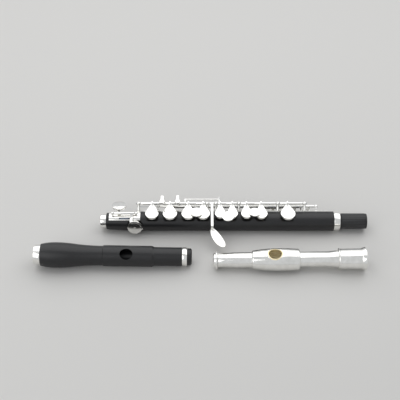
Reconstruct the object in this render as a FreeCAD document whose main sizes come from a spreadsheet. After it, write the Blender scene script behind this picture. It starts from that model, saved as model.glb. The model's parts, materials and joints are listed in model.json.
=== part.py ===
import FreeCAD, Part
import math
import os
from types import SimpleNamespace

import Sketcher

# A piccolo taken apart: the keyed body joint with a black head joint and a silver head joint
# lying in front of it. Sizes are in millimetres and angles in degrees.
# Body places are measured along the joint from its foot end. Around the body an angle of
# zero is straight up over the tone holes and a positive angle turns to the back.
# Head places are measured from the left end of each head as it lies.

SIZES = {
    # where the three joints lie
    "body_left": -86.0,
    "body_turn": 10.0,
    "row_shift": 17.91,
    "floor_gap": 0.02,
    "wood_head_left": -135.79,
    "wood_head_spacing": 39.5,
    "wood_head_turn": -30.0,
    "metal_head_left": 7.3,
    "metal_head_spacing": 43.0,
    "metal_head_turn": -8.0,
    # body tube, rings and tenon
    "body_radius": 8.1,
    "foot_radius": 6.9,
    "taper_before_post": 1.8,
    "foot_ring_length": 5.2,
    "foot_ring_radius": 5.9,
    "foot_spigot_radius": 5.2,
    "ring_lip": 0.8,
    "ring_round": 0.35,
    "ring_bow": 0.35,
    "foot_bore_radius": 4.4,
    "foot_bore_length": 12.0,
    "tenon_bore_radius": 5.35,
    "tenon_ring_space": 4.5,
    "tenon_ring_length": 5.1,
    "tenon_length": 22.4,
    "tenon_ring_radius": 7.7,
    "tenon_ring_bow": 0.25,
    "tenon_ring_seat": 6.9,
    "tenon_land_radius": 6.3,
    "tenon_groove_radius": 5.95,
    "tenon_land_width": 1.2,
    "tenon_cork_radius": 6.5,
    # tone holes
    "recess_floor": 6.6,
    "recess_clearance": 0.7,
    "chimney_radius": 3.3,
    "chimney_top": 7.5,
    "hole_radius": 2.5,
    "small_hole_radius": 1.7,
    "small_chimney_radius": 2.5,
    # rib and posts
    "rib_radius": 9.0,
    "rib_after_post": 4.2,
    "rib_past_post": 19.6,
    "rib_angle": 45.0,
    "rib_span": 16.0,
    "hinge_angle": 47.0,
    "hinge_reach": 14.9,
    "post_ball_radius": 1.7,
    "post_stem_radius": 1.15,
    "post_foot_radius": 1.6,
    "post_foot_height": 0.6,
    "steel_radius": 0.8,
    "steel_fit": 0.02,
    "tube_radius": 1.3,
    "tube_fit": 0.05,
    "end_gap": 0.1,
    # hinge line: the first post's place, then each key's share of the line
    "post_one": 31.8,
    "d_span": 18.8,
    "e_span": 21.0,
    "fs_span": 7.9,
    "f_span": 9.7,
    "gs_span": 7.2,
    "lg_span": 8.3,
    "g_span": 10.9,
    "a_span": 12.7,
    "bf_span": 19.7,
    "c_span": 22.4,
    # cups, pads and arms
    "seat_gap": 0.05,
    "pad_rise": 0.5,
    "cup_rim": 1.9,
    "cup_dome": 0.5,
    "cup_wall": 0.45,
    "cup_hollow": 1.3,
    "pad_fit": 0.05,
    "small_cup_rim": 1.5,
    "arm_width": 2.4,
    "arm_thickness": 1.0,
    "flank_inset": 0.15,
    "spur_width": 1.1,
    "spur_radius": 2.45,
    "open_angle": 8.5,
    # each cup's place after the start of its key's share, and its radius
    "d_cup_after": 11.5,
    "d_cup_radius": 5.45,
    "e_cup_after": 7.6,
    "e_cup_radius": 5.85,
    "fs_cup_after": 1.8,
    "fs_cup_radius": 5.6,
    "f_cup_after": 6.2,
    "f_cup_radius": 5.6,
    "lg_cup_after": 3.5,
    "lg_cup_radius": 4.5,
    "g_cup_after": 5.2,
    "g_cup_radius": 4.5,
    "a_cup_after": 6.1,
    "a_cup_radius": 4.6,
    "bf_cup_after": 5.6,
    "bf_cup_radius": 5.0,
    "c_cup_after": 7.9,
    "c_cup_radius": 6.0,
    # finger discs carried beside the cups
    "disc_lift": 0.4,
    "disc_thickness": 1.0,
    "disc_dome": 0.25,
    "stud_radius": 1.4,
    "f_disc_before_cup": 5.4,
    "f_disc_radius": 5.0,
    "g_disc_before_cup": 3.8,
    "g_disc_front": 4.5,
    "g_disc_radius": 5.2,
    "a_disc_after_cup": 6.6,
    "a_disc_radius": 4.6,
    # split-E bar and the lower G tail it stops short of
    "bar_radius": 0.6,
    "bar_back": 4.7,
    "bar_before_split": 0.8,
    "tail_after_post": 2.8,
    "tail_width": 1.4,
    "tail_length": 7.5,
    "tail_gap": 0.3,
    # G sharp key
    "gs_arm_shift": 0.3,
    "gs_arm_width": 2.0,
    "gs_strap_radius": 14.4,
    "gs_strap_thickness": 0.9,
    "gs_cup_angle": 110.0,
    "gs_cup_radius": 4.5,
    "lever_height": 12.0,
    "lever_front": 12.6,
    "lever_drop": 7.4,
    "spoon_length": 20.5,
    "spoon_width": 7.2,
    "spoon_thickness": 1.0,
    "spoon_overlap": 1.0,
    "spoon_skew": 30.0,
    "spoon_hollow": 26.0,
    # trill keys
    "trill_reach": 12.6,
    "trill_tube_radius": 1.1,
    "trill_steel_radius": 0.6,
    "trill_ball_radius": 1.4,
    "trill_stem_radius": 0.8,
    "trill_foot_radius": 0.95,
    "ds_angle": 60.0,
    "ds_after_post": 16.2,
    "ds_past_post": 10.1,
    "ds_touch_after": 3.6,
    "ds_touch_back": 14.3,
    "ds_cup_before": 6.5,
    "ds_cup_angle": 95.0,
    "dt_angle": 76.0,
    "dt_after_ds": 12.5,
    "dt_before_post": 2.4,
    "dt_touch_after": 4.0,
    "dt_touch_back": 14.6,
    "dt_cup_before": 5.0,
    "dt_cup_angle": 104.0,
    "trill_cup_radius": 3.4,
    "trill_touch_height": 14.4,
    "trill_touch_front": 9.6,
    "trill_touch_radius": 2.0,
    "trill_touch_thickness": 1.3,
    "trill_strap": 0.9,
    "trill_strap_width": 2.2,
    # thumb keys
    "thumb_angle": 92.0,
    "thumb_reach": 13.6,
    "thumb_after_post": 15.4,
    "thumb_flat_span": 8.8,
    "thumb_b_span": 12.7,
    "thumb_cup_after": 5.2,
    "thumb_cup_angle": 112.0,
    "thumb_cup_radius": 4.5,
    "thumb_touch_after": 5.2,
    "thumb_touch_radius": 3.2,
    "thumb_touch_angle": 112.0,
    "thumb_touch_reach": 11.2,
    "thumb_open_angle": 12.0,
    # foot plate and E flat key
    "plate_after_ring": 2.3,
    "plate_past_post": 1.7,
    "plate_thickness": 0.8,
    "plate_angle": 13.5,
    "plate_span": 85.0,
    "window_after_post": 5.4,
    "window_length": 9.2,
    "window_angle": -19.5,
    "window_span": 11.0,
    "ef_angle": 3.0,
    "ef_reach": 10.8,
    "ef_post_after_plate": 3.0,
    "ef_span": 19.7,
    "ef_touch_after": 5.1,
    "ef_touch_radius": 6.1,
    "ef_touch_thickness": 1.5,
    "ef_touch_angle": 24.0,
    "ef_touch_height": 11.3,
    "ef_touch_along": 4.9,
    "ef_cup_before": 1.1,
    "ef_cup_angle": -67.0,
    "ef_cup_radius": 6.0,
    "ef_arm_before": 3.8,
    "ef_arm_width": 2.2,
    "ef_rim_width": 1.5,
    "ef_rim_outset": 0.7,
    "ef_rim_height": 1.4,
    "ef_rim_start": -10.0,
    "ef_rim_span": 130.0,
    # needle springs
    "spring_radius": 0.2,
    "spring_reach": 12.1,
    "spring_length": 8.0,
    # black head joint
    "head_socket_radius": 6.6,
    "head_socket_depth": 23.0,
    "head_bore_radius": 5.4,
    "wood_ring_length": 5.5,
    "wood_ring_near": 8.0,
    "wood_ring_far": 8.5,
    "wood_ring_seat": 7.4,
    "wood_shoulder_radius": 8.8,
    "wood_bulge_place": 17.0,
    "wood_bulge_radius": 10.2,
    "wood_bulge_bow": 0.35,
    "wood_waist_length": 17.0,
    "wood_waist_radius": 9.0,
    "wood_neck_length": 17.6,
    "wood_neck_bow": 0.2,
    "wood_neck_flat": 3.4,
    "wood_neck_radius": 7.9,
    "wood_lip_length": 39.4,
    "wood_lip_radius": 8.4,
    "wood_lip_slope": 1.8,
    "wood_crown_side_radius": 7.5,
    "wood_crown_side_length": 24.0,
    "wood_crown_ring_length": 4.0,
    "wood_crown_ring_radius": 7.3,
    "wood_crown_length": 4.0,
    "wood_crown_radius": 6.9,
    "crown_dome": 1.1,
    "crown_dome_run": 2.2,
    "crown_cover": 1.65,
    "crown_spigot_length": 4.5,
    "crown_fit": 0.05,
    # blow holes, stoppers and their screws
    "blow_hole_length": 10.4,
    "blow_hole_width": 8.9,
    "wood_hole_after": 19.0,
    "stopper_gap": 8.0,
    "stopper_plate": 1.2,
    "stopper_cork_length": 11.0,
    "stopper_cork_fit": 0.05,
    "stopper_screw_radius": 1.5,
    "screw_fit": 0.05,
    "screw_tip_gap": 0.55,
    # silver head joint
    "metal_crown_length": 3.8,
    "metal_crown_radius": 5.8,
    "metal_flange_radius": 7.6,
    "metal_flange_width": 1.3,
    "metal_neck_radius": 5.75,
    "metal_neck_length": 7.0,
    "metal_neck_slope": 6.7,
    "metal_tube_radius": 6.2,
    "metal_tube_past_lip": 22.6,
    "metal_flare_length": 7.8,
    "metal_sleeve_radius": 8.25,
    "metal_sleeve_length": 18.4,
    "metal_inner_radius": 7.1,
    "metal_bead_radius": 8.8,
    "metal_bead_width": 1.6,
    "metal_end_ring_length": 4.0,
    "metal_end_ring_radius": 9.45,
    "lip_after_neck": 13.5,
    "lip_length": 38.6,
    "lip_near_radius": 7.6,
    "lip_far_radius": 8.6,
    "lip_rise": 9.2,
    "lip_bow": 0.2,
    "lip_corner": 1.6,
    "lip_corner_bow": 0.45,
    "metal_hole_after": 18.6,
    "lip_span": 230.0,
    "riser_wall": 0.9,
}

doc = FreeCAD.newDocument("Piccolo")
sheet = doc.addObject("Spreadsheet::Sheet", "Sizes")


class Size:
    """A number together with the sheet formula that it comes from."""

    def __init__(self, number, formula):
        self.number = number
        self.formula = formula

    def __add__(self, other):
        return Size(self.number + number_of(other), f"({self.formula} + {formula_of(other)})")

    def __radd__(self, other):
        return Size(number_of(other) + self.number, f"({formula_of(other)} + {self.formula})")

    def __sub__(self, other):
        return Size(self.number - number_of(other), f"({self.formula} - {formula_of(other)})")

    def __rsub__(self, other):
        return Size(number_of(other) - self.number, f"({formula_of(other)} - {self.formula})")

    def __mul__(self, other):
        return Size(self.number * number_of(other), f"({self.formula} * {formula_of(other)})")

    def __rmul__(self, other):
        return self * other

    def __truediv__(self, other):
        return Size(self.number / number_of(other), f"({self.formula} / {formula_of(other)})")

    def __neg__(self):
        return Size(-self.number, f"(0 - {self.formula})")


def number_of(value):
    return value.number if isinstance(value, Size) else float(value)


def formula_of(value):
    return value.formula if isinstance(value, Size) else repr(float(value))


def root(value):
    return Size(math.sqrt(value.number), f"sqrt({value.formula})")


def sine(angle):
    return Size(math.sin(math.radians(number_of(angle))), f"sin({formula_of(angle)})")


def cosine(angle):
    return Size(math.cos(math.radians(number_of(angle))), f"cos({formula_of(angle)})")


for row, (alias, number) in enumerate(SIZES.items(), start=1):
    sheet.set(f"A{row}", alias)
    sheet.set(f"B{row}", str(number))
    sheet.setAlias(f"B{row}", alias)
doc.recompute()
s = SimpleNamespace(**{alias: Size(number, "Sizes." + alias) for alias, number in SIZES.items()})

X_AXIS = FreeCAD.Vector(1, 0, 0)
Y_AXIS = FreeCAD.Vector(0, 1, 0)
Z_AXIS = FreeCAD.Vector(0, 0, 1)
FULL_TURN = 360.0
NOTHING = Size(0.0, "0")
SAME_POINT = 1e-6
# how far a cutting tool runs past what it cuts
MARGIN = 2.0


def bind(item, **sizes):
    """Bind each property to its size in the sheet."""
    for name, value in sizes.items():
        item.setExpression(name, formula_of(value))


def put(item, along, across, up, rotation=None):
    """Set where an item stands, with its base bound to the sheet."""
    base = FreeCAD.Vector(number_of(along), number_of(across), number_of(up))
    item.Placement = FreeCAD.Placement(base, rotation or FreeCAD.Rotation())
    for letter, value in zip("xyz", (along, across, up)):
        item.setExpression("Placement.Base." + letter, formula_of(value))
    return item


def put_radial(item, along, angle, reach):
    """Stand an item at an angle round the body, its own Z pointing straight out."""
    rotation = FreeCAD.Rotation(X_AXIS, -number_of(angle))
    return put(item, along, sine(angle) * reach, cosine(angle) * reach, rotation)


def cylinder(name, radius, height):
    item = doc.addObject("Part::Cylinder", name)
    bind(item, Radius=radius, Height=height)
    return item


def rod(name, radius, start, end, across=0.0, up=0.0):
    """A cylinder that runs along the instrument."""
    item = cylinder(name, radius, end - start)
    return put(item, start, across, up, FreeCAD.Rotation(Y_AXIS, 90))


def ball(name, radius, along, across, up):
    item = doc.addObject("Part::Sphere", name)
    bind(item, Radius=radius)
    return put(item, along, across, up)


def block(name, length, width, height, along, across, up, rotation=None):
    """A box centred on its place along the instrument."""
    item = doc.addObject("Part::Box", name)
    bind(item, Length=length, Width=width, Height=height)
    return put(item, along - length / 2, across, up, rotation)


def fuse(name, pieces):
    item = doc.addObject("Part::MultiFuse", name)
    item.Shapes = pieces
    item.Refine = True
    return item


def common(name, pieces):
    item = doc.addObject("Part::MultiCommon", name)
    item.Shapes = pieces
    item.Refine = True
    return item


def cut(name, base, tools):
    item = doc.addObject("Part::Cut", name)
    item.Base = base
    item.Tool = tools[0] if len(tools) == 1 else fuse(name + "_tools", tools)
    item.Refine = True
    return item


def strap(name, radius, thickness, start_angle, end_angle, along, width):
    """A flat strap bent round the body's axis, from one angle to another."""
    outer = cylinder(name + "_outer", radius + thickness, width)
    bind(outer, Angle=end_angle - start_angle)
    turn = FreeCAD.Rotation(Y_AXIS, 90) * FreeCAD.Rotation(Z_AXIS, 180 - number_of(end_angle))
    put(outer, along - width / 2, 0.0, 0.0, turn)
    inner = rod(name + "_inner", radius, along - width / 2 - MARGIN, along + width / 2 + MARGIN)
    return cut(name, outer, [inner])


def arm_between(name, along, width, thickness, from_point, to_point):
    """A flat bar between two points of the cross-section, given as (across, up) sizes."""
    run = (to_point[0] - from_point[0], to_point[1] - from_point[1])
    lean = math.degrees(math.atan2(run[0].number, run[1].number))
    bar = doc.addObject("Part::Box", name)
    bind(bar, Length=width, Width=thickness, Height=root(run[0] * run[0] + run[1] * run[1]))
    shift = FreeCAD.Rotation(X_AXIS, -lean)
    half = shift.multVec(FreeCAD.Vector(0, -number_of(thickness) / 2, 0))
    return put(bar, along - width / 2, from_point[0] + half.y, from_point[1] + half.z, shift)


def origin_plane(body, role):
    return next(item for item in body.Origin.OriginFeatures if item.Role == role)


def revolved(name, points, angle=FULL_TURN):
    """A body turned round the X axis from corners given as (along, radius) or (along, radius, bow).

    A bow bends the side that arrives at its corner: a positive one to the left of its way.
    """
    body = doc.addObject("PartDesign::Body", name)
    sketch = body.newObject("Sketcher::SketchObject", name + "_profile")
    sketch.AttachmentSupport = [(origin_plane(body, "XY_Plane"), "")]
    sketch.MapMode = "FlatFace"
    ends = []
    for index, corner in enumerate(points):
        following = points[(index + 1) % len(points)]
        start = FreeCAD.Vector(number_of(corner[0]), number_of(corner[1]), 0)
        end = FreeCAD.Vector(number_of(following[0]), number_of(following[1]), 0)
        bow = following[2] if len(following) > 2 else None
        if bow is None:
            sketch.addGeometry(Part.LineSegment(start, end))
        else:
            way = end - start
            left = FreeCAD.Vector(-way.y, way.x, 0).normalize()
            middle = (start + end) * 0.5 + left * number_of(bow)
            sketch.addGeometry(Part.Arc(start, middle, end))
        starts_first = sketch.getPoint(index, 1).distanceToPoint(start) < SAME_POINT
        ends.append((1, 2) if starts_first else (2, 1))
    for index, corner in enumerate(points):
        previous = (index - 1) % len(points)
        sketch.addConstraint(
            Sketcher.Constraint("Coincident", previous, ends[previous][1], index, ends[index][0]))
        for kind, value, axis in (("DistanceX", corner[0], -2), ("DistanceY", corner[1], -1)):
            if number_of(value) == 0.0:
                sketch.addConstraint(Sketcher.Constraint("PointOnObject", index, ends[index][0], axis))
                continue
            place = sketch.addConstraint(
                Sketcher.Constraint(kind, -1, 1, index, ends[index][0], number_of(value)))
            sketch.setExpression(f"Constraints[{place}]", formula_of(value))
        following = points[(index + 1) % len(points)]
        if len(following) > 2:
            run = following[0] - corner[0]
            rise = following[1] - corner[1]
            bow = following[2]
            radius = (run * run + rise * rise) / (bow * 8.0) + bow / 2.0
            if radius.number < 0:
                radius = -radius
            place = sketch.addConstraint(Sketcher.Constraint("Radius", index, radius.number))
            sketch.setExpression(f"Constraints[{place}]", radius.formula)
    turn = body.newObject("PartDesign::Revolution", name + "_turned")
    turn.Profile = sketch
    turn.ReferenceAxis = (sketch, ["H_Axis"])
    turn.Angle = number_of(angle)
    if isinstance(angle, Size):
        turn.Midplane = True
        turn.setExpression("Angle", angle.formula)
    sketch.Visibility = False
    body.Tip = turn
    return body


# Places along the body joint

post_one = s.post_one
split_d_e = post_one + s.d_span
split_e_fs = split_d_e + s.e_span
split_fs_f = split_e_fs + s.fs_span
post_two = split_fs_f + s.f_span
post_three = post_two + s.gs_span
split_lg_g = post_three + s.lg_span
post_four = split_lg_g + s.g_span
split_a_bf = post_four + s.a_span
post_five = split_a_bf + s.bf_span
post_six = post_five + s.c_span
ds_left = post_one + s.ds_after_post
ds_right = post_six + s.ds_past_post
dt_left = ds_left + s.dt_after_ds
dt_right = post_six - s.dt_before_post
ds_cup_place = ds_right - s.ds_cup_before
dt_cup_place = dt_right - s.dt_cup_before
thumb_left = post_four + s.thumb_after_post
thumb_split = thumb_left + s.thumb_flat_span
thumb_right = thumb_split + s.thumb_b_span
thumb_cup_place = thumb_split + s.thumb_cup_after
gs_arm_place = (post_two + post_three) / 2 + s.gs_arm_shift
foot_taper_end = post_one - s.taper_before_post
plate_start = s.foot_ring_length + s.plate_after_ring
plate_end = post_one + s.plate_past_post
ef_left = plate_start + s.ef_post_after_plate
ef_right = ef_left + s.ef_span
ef_cup_place = ef_right - s.ef_cup_before
rib_start = post_one + s.rib_after_post
rib_end = post_six + s.rib_past_post
tenon_ring_place = rib_end + s.tenon_ring_space
tenon_ring_end = tenon_ring_place + s.tenon_ring_length
body_end = tenon_ring_end + s.tenon_length

# Places along the black head

wood_waist_place = s.wood_bulge_place + s.wood_waist_length
wood_neck_place = wood_waist_place + s.wood_neck_length
wood_lip_start = wood_neck_place + s.wood_neck_flat
wood_lip_end = wood_lip_start + s.wood_lip_length
wood_hole_place = wood_lip_start + s.wood_hole_after
wood_crown_ring_place = wood_lip_end + s.wood_crown_side_length
wood_crown_ring_end = wood_crown_ring_place + s.wood_crown_ring_length
wood_head_end = wood_crown_ring_end + s.wood_crown_length

# Places along the silver head

metal_neck_end = s.metal_crown_length + s.metal_neck_length
metal_slope_end = metal_neck_end + s.metal_neck_slope
lip_start = metal_slope_end + s.lip_after_neck
lip_end = lip_start + s.lip_length
metal_hole_place = lip_start + s.metal_hole_after
metal_tube_end = lip_end + s.metal_tube_past_lip
metal_flare_end = metal_tube_end + s.metal_flare_length
metal_end_ring_place = metal_flare_end + s.metal_sleeve_length
metal_head_end = metal_end_ring_place + s.metal_end_ring_length

nodes = []


def keep(item, label, place):
    """Name a finished piece and carry it from its own joint's axis to where it lies."""
    item.Label = label
    for letter in "xyz":
        item.setExpression("Placement.Base." + letter, None)
    item.Placement = place.multiply(item.Placement)
    nodes.append(item)


# Places of the three joints

lift = SIZES["floor_gap"]
body_place = FreeCAD.Placement(
    FreeCAD.Vector(s.body_left.number, s.row_shift.number, s.body_radius.number + lift),
    FreeCAD.Rotation(X_AXIS, s.body_turn.number))


def head_place(left, across, near_place, near_radius, far_place, far_radius, turn):
    """A head that leans on the floor on its two widest rings."""
    drop = near_radius - far_radius
    pitch = math.degrees(math.asin(drop / (far_place - near_place)))
    height = near_radius + near_place * math.sin(math.radians(pitch)) + lift
    lean = FreeCAD.Rotation(Y_AXIS, pitch) * FreeCAD.Rotation(X_AXIS, -turn)
    return FreeCAD.Placement(FreeCAD.Vector(left, across, height), lean)


wood_place = head_place(
    SIZES["wood_head_left"], SIZES["row_shift"] - SIZES["wood_head_spacing"],
    SIZES["wood_bulge_place"], SIZES["wood_bulge_radius"],
    wood_lip_end.number, SIZES["wood_lip_radius"], SIZES["wood_head_turn"])
metal_place = head_place(
    SIZES["metal_head_left"], SIZES["row_shift"] - SIZES["metal_head_spacing"],
    SIZES["metal_crown_length"] - SIZES["end_gap"] - SIZES["metal_flange_width"],
    SIZES["metal_flange_radius"],
    metal_head_end.number, SIZES["metal_end_ring_radius"], SIZES["metal_head_turn"])


def swung(across, up, angle):
    """The body's place followed by a turn about a hinge beside it."""
    hinge = FreeCAD.Vector(0, across, up)
    return body_place * FreeCAD.Placement(
        FreeCAD.Vector(), FreeCAD.Rotation(X_AXIS, angle), hinge)


# The main hinge line

hinge_across = sine(s.hinge_angle) * s.hinge_reach
hinge_up = cosine(s.hinge_angle) * s.hinge_reach
rim_bottom = s.chimney_top + s.seat_gap + s.pad_rise


def cup_and_pad(name, along, angle, radius, rim):
    """A key cup with its domed top and hollow underside, and the pad in the hollow."""
    dome_radius = (radius * radius + s.cup_dome * s.cup_dome) / (s.cup_dome * 2.0)
    top = rim_bottom + rim + s.cup_dome
    drum = put_radial(cylinder(name + "_drum", radius, rim + s.cup_dome), along, angle, rim_bottom)
    dome = doc.addObject("Part::Sphere", name + "_dome")
    bind(dome, Radius=dome_radius)
    put_radial(dome, along, angle, top - dome_radius)
    domed = common(name + "_domed", [drum, dome])
    hollow = cylinder(name + "_hollow", radius - s.cup_wall, s.cup_hollow + MARGIN)
    put_radial(hollow, along, angle, rim_bottom - MARGIN)
    shell = cut(name + "_shell", domed, [hollow])
    pad = cylinder(name + "_felt", radius - s.cup_wall - s.pad_fit, s.cup_hollow + s.pad_rise)
    return shell, put_radial(pad, along, angle, rim_bottom - s.pad_rise)


def teardrop_web(name, along, radius):
    """The flat web that narrows from both flanks of a cup to a thin spur round the hinge."""
    flank_across = radius * radius / hinge_across
    half_flank = radius * root(1.0 - flank_across / hinge_across) - s.flank_inset
    half_spur = s.spur_width / 2
    low = rim_bottom + s.cup_hollow + s.pad_fit
    thickness = s.cup_rim + s.cup_dome / 2 - s.cup_hollow - s.pad_fit
    web = doc.addObject("Part::Wedge", name + "_web")
    bind(web, Xmin=-half_flank, Xmax=half_flank, X2min=-half_spur, X2max=half_spur,
         Ymin=NOTHING, Ymax=hinge_across - flank_across,
         Zmin=NOTHING, Zmax=thickness, Z2min=NOTHING, Z2max=thickness)
    put(web, along, flank_across, low)
    spur = rod(name + "_spur", s.spur_radius, along - half_spur, along + half_spur,
               hinge_across, hinge_up)
    return [web, spur]


def hinge_tube(name, radius, start, end, across, up):
    return rod(name + "_tube", radius, start, end, across, up)


def bored(name, pieces, radius, start, end, across, up):
    """Fuse a key's pieces and bore its hinge tube."""
    bore = rod(name + "_bore", radius, start - MARGIN, end + MARGIN, across, up)
    return cut(name, fuse(name + "_joined", pieces), [bore])


def finger_disc(name, cup_along, along, across, radius):
    """A finger disc level above the neighbouring cup, on a stud halfway to its own cup."""
    disc_up = rim_bottom + s.cup_rim + s.cup_dome + s.disc_lift
    dome_radius = (radius * radius + s.disc_dome * s.disc_dome) / (s.disc_dome * 2.0)
    drum = put(cylinder(name + "_disc_drum", radius, s.disc_thickness + s.disc_dome),
               along, across, disc_up)
    dome = ball(name + "_disc_dome", dome_radius, along, across,
                disc_up + s.disc_thickness + s.disc_dome - dome_radius)
    stud = put(cylinder(name + "_stud", s.stud_radius, s.disc_lift + s.cup_dome * 2.0),
               (along + cup_along) / 2, across / 2, rim_bottom + s.cup_rim - s.cup_dome / 2)
    return [common(name + "_disc", [drum, dome]), stud]


post_space = s.post_ball_radius + s.end_gap
half_gap = s.end_gap / 2
MAIN_KEYS = {
    "d_key": (post_one + post_space, split_d_e - half_gap,
              post_one + s.d_cup_after, s.d_cup_radius),
    "e_key": (split_d_e + half_gap, split_e_fs - half_gap,
              split_d_e + s.e_cup_after, s.e_cup_radius),
    "f_sharp_key": (split_e_fs + half_gap, split_fs_f - half_gap,
                    split_e_fs + s.fs_cup_after, s.fs_cup_radius),
    "f_key": (split_fs_f + half_gap, post_two - post_space,
              split_fs_f + s.f_cup_after, s.f_cup_radius),
    "lower_g_key": (post_three + post_space, split_lg_g - half_gap,
                    post_three + s.lg_cup_after, s.lg_cup_radius),
    "g_key": (split_lg_g + half_gap, post_four - post_space,
              split_lg_g + s.g_cup_after, s.g_cup_radius),
    "a_key": (post_four + post_space, split_a_bf - half_gap,
              post_four + s.a_cup_after, s.a_cup_radius),
    "b_flat_key": (split_a_bf + half_gap, post_five - post_space,
                   split_a_bf + s.bf_cup_after, s.bf_cup_radius),
    "c_key": (post_five + post_space, post_six - post_space,
              post_five + s.c_cup_after, s.c_cup_radius),
}


def split_e_bar(along):
    """The bar behind the hinge line that reaches from the E key to the lower G tail."""
    bar_across = hinge_across + s.bar_back
    arm_place = split_e_fs - s.bar_before_split
    arm = block("split_e_arm", s.bar_radius * 2.0, s.bar_back, s.bar_radius * 2.0,
                arm_place, hinge_across, hinge_up - s.bar_radius)
    bar_end = post_three + s.tail_after_post - s.tail_width / 2 - s.tail_gap
    bar = rod("split_e_bar", s.bar_radius, arm_place - s.bar_radius, bar_end, bar_across, hinge_up)
    return [arm, bar]


def lower_g_tail(along):
    return [block("lower_g_tail", s.tail_width, s.tail_length, s.arm_thickness,
                  post_three + s.tail_after_post, hinge_across, hinge_up - s.arm_thickness / 2)]


def f_disc(along):
    return finger_disc("f_key", along, along - s.f_disc_before_cup, NOTHING, s.f_disc_radius)


def g_disc(along):
    return finger_disc("g_key", along, along - s.g_disc_before_cup, -s.g_disc_front, s.g_disc_radius)


def a_disc(along):
    return finger_disc("a_key", along, along + s.a_disc_after_cup, NOTHING, s.a_disc_radius)


EXTRAS = {"e_key": split_e_bar, "lower_g_key": lower_g_tail,
          "f_key": f_disc, "g_key": g_disc, "a_key": a_disc}


def main_key(label, start, end, along, radius):
    """One key of the main line: tube, teardrop cup with its spur, and pad, standing open."""
    shell, pad = cup_and_pad(label, along, 0.0, radius, s.cup_rim)
    pieces = [shell, hinge_tube(label, s.tube_radius, start, end, hinge_across, hinge_up)]
    pieces += teardrop_web(label, along, radius)
    if label in EXTRAS:
        pieces += EXTRAS[label](along)
    key = bored(label, pieces, s.steel_radius + s.tube_fit, start, end, hinge_across, hinge_up)
    place = swung(hinge_across.number, hinge_up.number, -s.open_angle.number)
    keep(key, label, place)
    keep(pad, label + "_pad", place)


for label, (start, end, along, radius) in MAIN_KEYS.items():
    main_key(label, start, end, along, radius)


# G sharp key: a closed cup at the back, worked by a spoon at the front

def g_sharp_key():
    label = "g_sharp_key"
    start = post_two + post_space
    end = post_three - post_space
    place = gs_arm_place
    shell, pad = cup_and_pad(label, place, s.gs_cup_angle, s.gs_cup_radius, s.cup_rim)
    pieces = [shell, hinge_tube(label, s.tube_radius, start, end, hinge_across, hinge_up)]
    pieces.append(strap(label + "_strap", s.gs_strap_radius, s.gs_strap_thickness,
                        s.hinge_angle, s.gs_cup_angle, place, s.gs_arm_width))
    cup_top = rim_bottom + s.cup_rim
    post = cylinder(label + "_post", s.gs_arm_width / 2,
                    s.gs_strap_radius + s.gs_strap_thickness - cup_top)
    pieces.append(put_radial(post, place, s.gs_cup_angle, cup_top))
    bridge = block(label + "_bridge", s.gs_arm_width,
                   hinge_across + s.lever_front - s.arm_thickness, s.arm_thickness,
                   place, s.arm_thickness - s.lever_front, s.lever_height - s.arm_thickness)
    pieces.append(bridge)
    drop = block(label + "_drop", s.gs_arm_width, s.arm_thickness, s.lever_drop,
                 place, -s.lever_front, s.lever_height - s.lever_drop)
    pieces.append(drop)
    knee = rod(label + "_knee", s.arm_thickness, place - s.gs_arm_width / 2,
               place + s.gs_arm_width / 2, s.arm_thickness - s.lever_front,
               s.lever_height - s.arm_thickness)
    pieces.append(knee)
    pieces.append(spoon(place))
    key = bored(label, pieces, s.steel_radius + s.tube_fit, start, end, hinge_across, hinge_up)
    keep(key, label, body_place)
    keep(pad, label + "_pad", body_place)


def spoon(place):
    """The dished oval touch of the G sharp key, slanting away from its lever."""
    oval = doc.addObject("Part::Ellipse", "spoon_oval")
    bind(oval, MajorRadius=s.spoon_length / 2, MinorRadius=s.spoon_width / 2)
    reach = s.spoon_length / 2 - s.spoon_overlap
    along = place + sine(s.spoon_skew) * reach
    across = -s.lever_front - cosine(s.spoon_skew) * reach
    low = s.lever_height - s.lever_drop - s.spoon_thickness
    put(oval, along, across, low - MARGIN, FreeCAD.Rotation(Z_AXIS, SIZES["spoon_skew"] - 90))
    prism = doc.addObject("Part::Extrusion", "spoon_prism")
    prism.Base = oval
    prism.Dir = Z_AXIS
    prism.DirMode = "Custom"
    prism.Solid = True
    bind(prism, LengthFwd=s.spoon_hollow)
    outer = ball("spoon_outer", s.spoon_hollow, along, across, low + s.spoon_hollow)
    inner = ball("spoon_inner", s.spoon_hollow - s.spoon_thickness, along, across,
                 low + s.spoon_hollow)
    return common("spoon", [prism, cut("spoon_shell", outer, [inner])])


g_sharp_key()


# Trill keys

def trill_line(angle):
    return sine(angle) * s.trill_reach, cosine(angle) * s.trill_reach


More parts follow.
